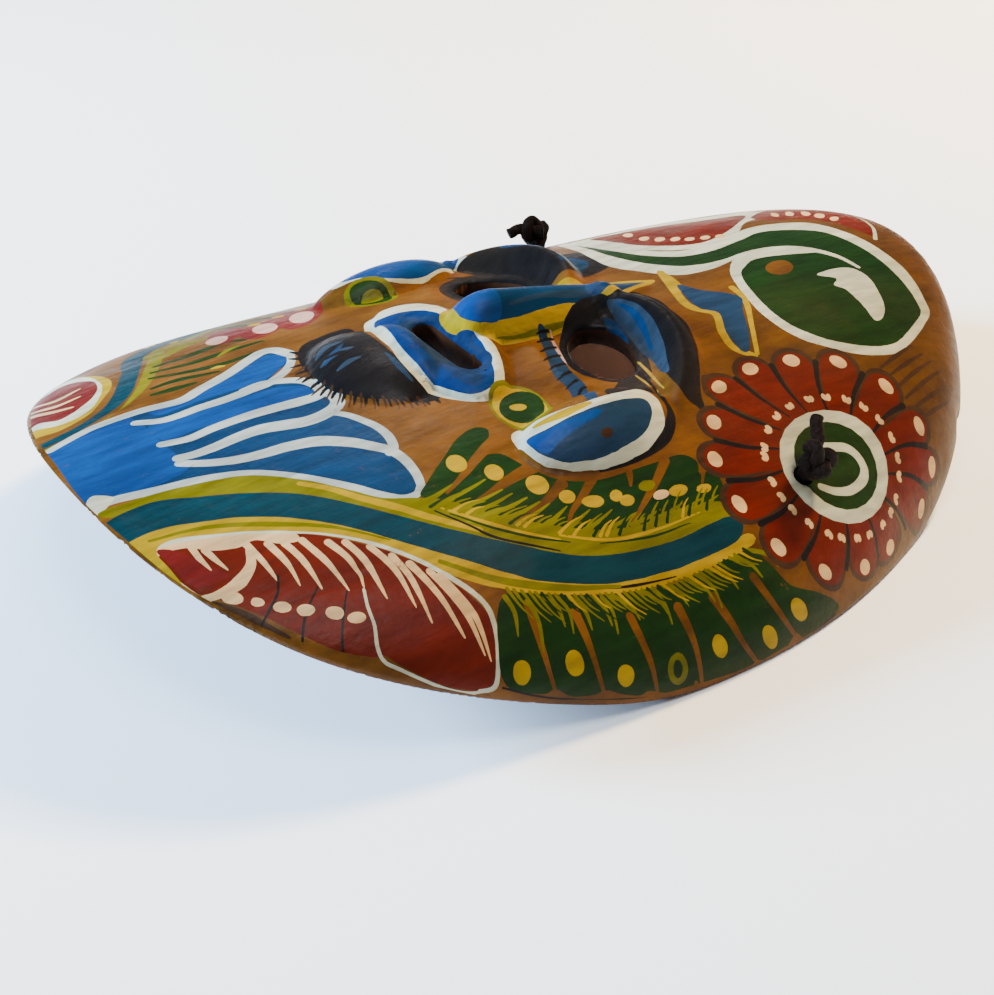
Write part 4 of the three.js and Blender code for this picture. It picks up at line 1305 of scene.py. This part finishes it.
def rim_strip():
    """Bare clay along the rim, where the brush stopped short."""
    outer = rim_inset(-3.0)
    inner = rim_inset(1.5)
    swing = np.linspace(0, 2 * math.pi, len(inner), endpoint=False)
    inner = inner + (0.35 * np.sin(9 * swing) + 0.25 * np.sin(23 * swing))[:, None] * (
        (inner - (MIDDLE_X, 0)) / np.linalg.norm(inner - (MIDDLE_X, 0), axis=1)[:, None]
    )
    half = len(inner) // 2
    for part in (slice(0, half + 1), slice(half, len(inner))):
        a, b = outer[part], inner[part]
        if part.stop == len(inner):
            a, b = np.concatenate([a, outer[:1]]), np.concatenate([b, inner[:1]])
        paint(np.concatenate([a, b[::-1]]), "clay")


def paint_face():
    mirrored(near_feather)
    mirrored(near_lower_fringe)
    mirrored(near_bands)
    far_side()
    hidden_far_details()
    forehead_paisley()
    chin_fan()
    near_feather()
    near_lower_fringe()
    near_upper_fringe()
    near_bands()
    band_hairs()
    goatee_and_lips()
    nose_paint()
    near_eye()
    near_cheek()
    dark_hatch()
    flower()
    rim_strip()


# The fourth value tells the material what a face is: bare back, varnished clay or paint
BARE, VARNISHED, PAINTED = 0.0, 0.5, 1.0
# Shares of the bare clay's colour: painted shade inside the hollow and, deepest, on the hole walls;
# along the rim the clay is darkened about as much as inside the hollow
HOLLOW_PAINTED_SHADE = (0.55, 0.50, 0.45, BARE)
RIM_TINT = (0.55, 0.45, 0.40, BARE)
HOLE_PAINTED_SHADE = (0.11, 0.09, 0.08, BARE)


def colours_at(points):
    """Colour of the topmost shape over each point."""
    result = np.tile(np.array([*COLOURS["clay"], VARNISHED]), (len(points), 1))
    for loop, colour in SHAPES:
        result[inside(loop, points)] = (*colour, VARNISHED if colour == COLOURS["clay"] else PAINTED)
    return result


def back_mesh(step=0.055):
    """Inner wall on its own plan (psi cos, psi sin), with its rim and hole loops."""
    a = np.arange(-1.6, 1.6, step)
    aa, bb = np.meshgrid(a, a)
    pts = np.stack([aa.ravel(), bb.ravel()], -1)
    phi = np.arange(240) / 240 * 2 * math.pi - math.pi
    rim = np.stack([np.cos(phi), np.sin(phi)], -1) * math.pi / 2
    loops = [rim]
    pts = pts[np.hypot(pts[:, 0], pts[:, 1]) < math.pi / 2 - 0.02]
    for name in HOLES:
        phi, psi = hole_params(name, True)
        loop = np.stack([psi * np.cos(phi), psi * np.sin(phi)], -1)
        loops.append(loop)
        pts = pts[~inside(loop, pts)]
    verts, faces = triangulate(pts, loops)
    verts, faces = keep_wall(verts, faces, rim, loops[1:])
    phi = np.arctan2(verts[:, 1], verts[:, 0])
    psi = np.minimum(np.hypot(verts[:, 0], verts[:, 1]), math.pi / 2)
    p = back_point(phi, psi)
    p[:, 2] += hand_wobble(p * np.array([1, -1, 1])) * smooth((math.pi / 2 - psi) / 0.2)
    return p, faces


def loop_centre(points, loop):
    return points[loop][:, :2].mean(0)


def build_mask():
    """The whole mask as one closed mesh: painted front, bare back, rim and hole walls."""
    rim = rim_loop()
    holes = [hole_loop(name) for name in HOLES]
    paint_face()
    flat, front_faces = triangulate(fill_points(), [rim] + holes + [s[0] for s in SHAPES])
    flat, front_faces = keep_wall(flat, front_faces, rim, holes)
    front = front_vertices(flat)
    back, back_faces = back_mesh()
    points = np.concatenate([front, back])
    offset = len(front)
    front_loops = open_loops(front_faces)
    back_loops = [[i + offset for i in loop] for loop in open_loops(back_faces)]
    walls = []
    wall_tints = []
    for loop in front_loops:
        centre = loop_centre(points, loop)
        other = min(back_loops, key=lambda b: np.linalg.norm(loop_centre(points, b) - centre)
                    + abs(np.ptp(points[b][:, 0]) - np.ptp(points[loop][:, 0])))
        stitch(walls, points, loop, other, centre)
        # Hole walls take painted shade; the rim wall is darkened about as much as the hollow
        tint = RIM_TINT if np.ptp(points[loop][:, 0]) > 100 else HOLE_PAINTED_SHADE
        wall_tints += [tint] * (len(walls) - len(wall_tints))
    faces = np.concatenate([front_faces, back_faces[:, ::-1] + offset, np.array(walls)])
    tints = colours_at(flat[front_faces].mean(1))
    # The inside of the hollow takes painted shade
    tints = np.concatenate([tints, np.tile(HOLLOW_PAINTED_SHADE, (len(back_faces), 1)), np.array(wall_tints)])
    return points, faces, tints


def to_scene(points):
    """Millimetres from the chin edge to metres in the shared frame."""
    p = np.asarray(points, float) * 0.001
    p[..., 0] -= BOX_MIDDLE_X * 0.001
    return p


def new_object(name, points, faces):
    mesh = bpy.data.meshes.new(name)
    mesh.from_pydata(to_scene(points).tolist(), [], faces.tolist() if hasattr(faces, "tolist") else faces)
    mesh.validate()
    mesh.update()
    obj = bpy.data.objects.new(name, mesh)
    bpy.context.scene.collection.objects.link(obj)
    for polygon in mesh.polygons:
        polygon.use_smooth = True
    return obj


class Nodes:
    """Short way to add and link the nodes of one material."""

    def __init__(self, name):
        self.material = bpy.data.materials.new(name)
        self.material.use_nodes = True
        self.tree = self.material.node_tree
        self.shader = self.tree.nodes["Principled BSDF"]
        self.place = self.tree.nodes.new("ShaderNodeTexCoord").outputs["Object"]

    def put(self, value, socket):
        if isinstance(value, bpy.types.NodeSocket):
            self.tree.links.new(value, socket)
        else:
            socket.default_value = value

    def noise(self, scale, detail=3.0, stretch=(1, 1, 1), roughness=0.5):
        mapping = self.tree.nodes.new("ShaderNodeMapping")
        mapping.inputs["Scale"].default_value = stretch
        self.put(self.place, mapping.inputs["Vector"])
        node = self.tree.nodes.new("ShaderNodeTexNoise")
        node.inputs["Scale"].default_value = scale
        node.inputs["Detail"].default_value = detail
        node.inputs["Roughness"].default_value = roughness
        self.put(mapping.outputs[0], node.inputs["Vector"])
        return node.outputs["Fac"]

    def spread(self, value, low, high, to_low=0.0, to_high=1.0):
        node = self.tree.nodes.new("ShaderNodeMapRange")
        for name, number in zip(("From Min", "From Max", "To Min", "To Max"), (low, high, to_low, to_high)):
            node.inputs[name].default_value = number
        self.put(value, node.inputs["Value"])
        return node.outputs["Result"]

    def maths(self, kind, a, b):
        node = self.tree.nodes.new("ShaderNodeMath")
        node.operation = kind
        self.put(a, node.inputs[0])
        self.put(b, node.inputs[1])
        return node.outputs[0]

    def mix(self, share, a, b, kind="MIX"):
        node = self.tree.nodes.new("ShaderNodeMix")
        node.data_type = "RGBA"
        node.blend_type = kind
        self.put(share, node.inputs["Factor"])
        self.put(a, [i for i in node.inputs if i.name == "A" and i.type == "RGBA"][0])
        self.put(b, [i for i in node.inputs if i.name == "B" and i.type == "RGBA"][0])
        return [o for o in node.outputs if o.type == "RGBA"][0]

    def shade(self, colour, value):
        node = self.tree.nodes.new("ShaderNodeHueSaturation")
        self.put(value, node.inputs["Value"])
        self.put(colour, node.inputs["Color"])
        return node.outputs["Color"]

    def bump(self, height, strength, distance):
        node = self.tree.nodes.new("ShaderNodeBump")
        node.inputs["Strength"].default_value = strength
        node.inputs["Distance"].default_value = distance
        self.put(height, node.inputs["Height"])
        self.put(node.outputs["Normal"], self.shader.inputs["Normal"])


def painted_material():
    """Brushed paint and varnished clay on the front, bare clay on the back with painted shade in the hollow
    and holes.
    """
    n = Nodes("painted_clay")
    attribute = n.tree.nodes.new("ShaderNodeAttribute")
    attribute.attribute_name = "paint"
    paint_colour = attribute.outputs["Color"]
    kind = attribute.outputs["Alpha"]
    is_paint = n.spread(kind, 0.7, 0.9)
    is_front = n.spread(kind, 0.2, 0.4)

    streaks = n.noise(150, 4, (0.5, 2.6, 1.6))
    broad = n.noise(32, 3)
    fine = n.noise(900, 3, roughness=0.7)
    brushed = n.shade(paint_colour, n.spread(streaks, 0.3, 0.7, 0.74, 1.26))
    brushed = n.shade(brushed, n.spread(broad, 0.3, 0.7, 0.82, 1.16))

    earth = n.noise(70, 5, (0.6, 1.5, 1.0), 0.65)
    clay = n.mix(n.spread(earth, 0.35, 0.68), CLAY_DARK, CLAY_WARM)
    position = n.tree.nodes.new("ShaderNodeSeparateXYZ")
    n.put(n.place, position.inputs[0])
    # The clay turns darker towards the forehead end
    toward_forehead = n.spread(position.outputs["X"], 0.0, 0.09, 0.0, 0.75)
    clay = n.mix(toward_forehead, clay, n.mix(n.spread(earth, 0.3, 0.7), FOREHEAD_CLAY_DARK, FOREHEAD_CLAY_WARM))
    specks = n.spread(n.noise(420, 4, roughness=0.75), 0.62, 0.68, 0.0, 0.7)
    clay = n.mix(specks, clay, (0.05, 0.022, 0.01, 1))

    worn = n.maths("MULTIPLY", n.spread(n.noise(330, 6, roughness=0.8), 0.63, 0.67),
                   n.spread(n.noise(26, 2), 0.48, 0.62, 0.0, 0.85))
    front = n.mix(n.maths("MULTIPLY", is_paint, n.maths("SUBTRACT", 1.0, worn)), clay, brushed)
    grime = n.spread(n.noise(14, 4, roughness=0.6), 0.5, 0.75, 0.0, 0.28)
    front = n.mix(grime, front, (0.05, 0.032, 0.012, 1))

    blotches = n.spread(n.noise(45, 5, roughness=0.6), 0.35, 0.7)
    bare = n.mix(blotches, (0.2, 0.085, 0.04, 1), (0.34, 0.155, 0.075, 1))
    bare = n.mix(n.spread(n.noise(600, 3), 0.58, 0.7, 0.0, 0.5), bare, (0.12, 0.05, 0.025, 1))
    # The face colour multiplies the bare clay: painted shade darkens the hollow and, far more, the hole
    # walls; the rim wall is darkened too
    bare = n.mix(1.0, bare, paint_colour, "MULTIPLY")
    n.put(n.mix(is_front, bare, front), n.shader.inputs["Base Color"])

    gloss = n.spread(n.noise(60, 3), 0.3, 0.7, 0.3, 0.46)
    gloss = n.maths("ADD", gloss, n.spread(fine, 0.3, 0.7, 0.0, 0.08))
    rough = n.maths("ADD", n.maths("MULTIPLY", gloss, is_front),
                    n.spread(is_front, 0.0, 1.0, 0.85, 0.0))
    n.put(rough, n.shader.inputs["Roughness"])
    n.shader.inputs["Specular IOR Level"].default_value = 0.14

    height = n.maths("ADD", n.maths("MULTIPLY", streaks, 0.5), n.maths("MULTIPLY", fine, 0.12))
    height = n.maths("ADD", height, n.maths("MULTIPLY", n.noise(210, 3), 0.6))
    n.bump(height, 0.55, 0.0007)
    return n.material


def make_mask():
    points, faces, tints = build_mask()
    obj = new_object("painted_mask", points, faces)
    mesh = obj.data
    layer = mesh.color_attributes.new("paint", "FLOAT_COLOR", "CORNER")
    layer.data.foreach_set("color", np.repeat(tints, 3, 0).astype(np.float32).ravel())
    mesh.materials.append(painted_material())
    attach(obj, "root")
    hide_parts("terracotta_mask")
    return obj


# Cord: it drops from each hole and lies in loose bends inside the hollow
CORD_ROUTE = [
    (147.5, -69.9, 26.6),
    (146.8, -65.6, 20.6),
    (145.8, -59.6, 13.2),
    (143.6, -53.0, 6.4),
    (138.6, -46.0, 2.5),
    (129.5, -39.5, 1.8),
    (118.0, -34.5, 1.8),
    (107.0, -27.5, 1.8),
    (101.5, -16.0, 1.8),
    (106.0, -4.0, 1.8),
    (118.0, 1.0, 1.8),
    (132.0, -1.5, 1.8),
    (145.0, 0.5, 1.8),
    (152.5, 9.5, 1.8),
    (150.5, 21.0, 1.8),
    (149.0, 31.0, 1.8),
    (153.0, 39.5, 2.6),
    (158.5, 45.0, 6.4),
    (162.2, 49.2, 12.6),
    (164.1, 53.6, 19.4),
    (164.8, 56.7, 24.1),
    (165.5, 60.7, 30.3),
]


def tube(path, radius, sides, strands=0, turns_per_mm=0.0):
    """Points and faces of a tube along a path, its ring turned as little as possible.

    With strands, the section is that of a twisted cord.
    """
    path = np.asarray(path, float)
    tangents = np.gradient(path, axis=0)
    tangents /= np.linalg.norm(tangents, axis=1)[:, None]
    travelled = np.concatenate([[0], np.cumsum(np.linalg.norm(np.diff(path, axis=0), axis=1))])
    normal = np.cross(tangents[0], [0.3, 0.2, 1.0])
    turn = np.arange(sides) / sides * 2 * math.pi
    points = []
    for p, t, s in zip(path, tangents, travelled):
        normal = normal - t * (normal @ t)
        normal /= np.linalg.norm(normal)
        other = np.cross(t, normal)
        r = np.full(sides, radius)
        if strands:
            r = radius * (0.93 + 0.07 * np.cos(strands * (turn - s * turns_per_mm * 2 * math.pi)))
        points.append(p + r[:, None] * (np.cos(turn)[:, None] * normal + np.sin(turn)[:, None] * other))
    faces = []
    for k in range(len(path) - 1):
        for i in range(sides):
            j = (i + 1) % sides
            faces.append([k * sides + i, k * sides + j, (k + 1) * sides + j, (k + 1) * sides + i])
    faces.append(list(range(sides))[::-1])
    faces.append([(len(path) - 1) * sides + i for i in range(sides)])
    return np.concatenate(points), faces


def cord_material():
    """Dark cord, lighter and redder on the high spots of its fibres as a painted sheen."""
    n = Nodes("dark_cord")
    fibres = n.noise(1400, 4, roughness=0.7)
    # Lighter, redder colour on the fibres' high spots: a painted sheen
    colour = n.mix(n.spread(fibres, 0.35, 0.7), (0.0015, 0.001, 0.0008, 1), (0.012, 0.006, 0.004, 1))
    n.put(colour, n.shader.inputs["Base Color"])
    n.shader.inputs["Roughness"].default_value = 0.8
    n.shader.inputs["Specular IOR Level"].default_value = 0.15
    n.bump(fibres, 0.6, 0.0004)
    return n.material


def make_cord(material):
    path = smooth_loop(CORD_ROUTE, closed=False, step=0.8)
    points, faces = tube(path, CORD_DIAMETER / 2, 15, 3, 0.09)
    obj = new_object("cord", points, faces)
    obj.data.materials.append(material)
    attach(obj, "root")
    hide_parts("hanging_cord")
    return obj, path


# Overhand knots. Each frame is the hole's axis turned a little, and the tails differ.
KNOT_STANDOFF = 5.6
KNOT_TAILS = (
    ((2.8, 3.2, 2.2), (5.2, 6.2, 4.0), (7.1, 8.4, 4.9)),
    ((-3.0, 0.5, 1.4), (-5.6, 1.0, 1.2), (-7.8, 1.5, 0.4)),
)
KNOT_TURNS = (0.5, 2.3)


def knot_path(side):
    """One cord through a tight overhand knot, from the hole to the end of the tail."""
    centre, axis = hole_line(side)
    centre = centre + axis * KNOT_STANDOFF
    tail = np.array(KNOT_TAILS[side])
    first = np.cross([math.cos(KNOT_TURNS[side]), math.sin(KNOT_TURNS[side]), 0.4], axis)
    first /= np.linalg.norm(first)
    up = axis + 0.45 * first
    up /= np.linalg.norm(up)
    first = first - up * (first @ up)
    first /= np.linalg.norm(first)
    second = np.cross(up, first)
    t = np.linspace(math.pi + 0.35, 3 * math.pi - 0.35, 60)
    loop = 1.22 * (
        (np.sin(t) + 2 * np.sin(2 * t))[:, None] * first
        + (np.cos(t) - 2 * np.cos(2 * t))[:, None] * second
    ) - 1.9 * np.sin(3 * t)[:, None] * up
    if np.linalg.norm(loop[0] - tail[0]) < np.linalg.norm(loop[-1] - tail[0]):
        loop = loop[::-1]
    neck = np.array([-axis * 5.2, -axis * 3.9 + loop[0] * 0.35])
    return centre + np.concatenate([neck, loop[::3], tail])


def make_knot(side, name, material):
    path = smooth_loop(knot_path(side), closed=False, step=0.35)
    points, faces = tube(path, 1.65, 16, 3, 0.11)
    obj = new_object(name + "_cord", points, faces)
    obj.data.materials.append(material)
    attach(obj, "root")
    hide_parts(name)
    return obj


def make_camera():
    azimuth, elevation, distance = math.radians(-33.83), math.radians(31.42), 0.34997
    back = Vector((
        math.sin(azimuth) * math.cos(elevation),
        -math.cos(azimuth) * math.cos(elevation),
        math.sin(elevation),
    ))
    data = bpy.data.cameras.new("camera")
    data.sensor_width = 36
    data.lens = 61.57
    data.clip_start = 0.01
    obj = bpy.data.objects.new("camera", data)
    bpy.context.scene.collection.objects.link(obj)
    target = Vector((-0.04876, -0.05856, 0.04))
    obj.location = target + back * distance
    obj.rotation_mode = "QUATERNION"
    obj.rotation_quaternion = (-back).to_track_quat("-Z", "Y")
    bpy.context.scene.camera = obj


def make_floor():
    mesh = bpy.data.meshes.new("floor")
    size = 3.0
    corners = [(-size, -size, 0), (size, -size, 0), (size, size, 0), (-size, size, 0)]
    mesh.from_pydata(corners, [], [(0, 1, 2, 3)])
    obj = bpy.data.objects.new("floor", mesh)
    bpy.context.scene.collection.objects.link(obj)
    material = bpy.data.materials.new("floor")
    material.use_nodes = True
    shader = material.node_tree.nodes["Principled BSDF"]
    shader.inputs["Base Color"].default_value = (0.93, 0.935, 0.93, 1)
    shader.inputs["Roughness"].default_value = 0.8
    mesh.materials.append(material)


def area_light(name, place, size, power, colour, mirrored_light=True):
    data = bpy.data.lights.new(name, "AREA")
    data.shape = "DISK"
    data.size = size
    data.energy = power
    data.color = colour
    obj = bpy.data.objects.new(name, data)
    bpy.context.scene.collection.objects.link(obj)
    obj.location = place
    obj.rotation_mode = "QUATERNION"
    obj.rotation_quaternion = (-Vector(place)).to_track_quat("-Z", "Y")
    obj.visible_glossy = mirrored_light


def make_light():
    world = bpy.data.worlds.new("studio")
    world.use_nodes = True
    world.node_tree.nodes["Background"].inputs["Color"].default_value = (0.93, 0.96, 1.0, 1)
    world.node_tree.nodes["Background"].inputs["Strength"].default_value = 0.27
    bpy.context.scene.world = world
    area_light("cool_side", (-0.8, 0.62, 0.42), 0.3, 80, (0.40, 0.65, 1.0), False)
    area_light("warm_side", (0.75, 0.2, 0.75), 0.22, 38, (1.0, 0.72, 0.38), False)
    area_light("overhead", (-0.1, -0.25, 1.3), 0.7, 11, (0.96, 0.98, 1.0))
    area_light("window", (0.5, 0.9, 0.9), 0.15, 1.5, (1.0, 0.98, 0.94))


make_mask()
dark_cord = cord_material()
cord, cord_path = make_cord(dark_cord)
knots = [make_knot(0, "left_knot", dark_cord), make_knot(1, "right_knot", dark_cord)]
to_scene(cord_path[0])
to_scene(cord_path).tolist()
make_camera()
make_floor()
make_light()

bpy.context.view_layer.update()
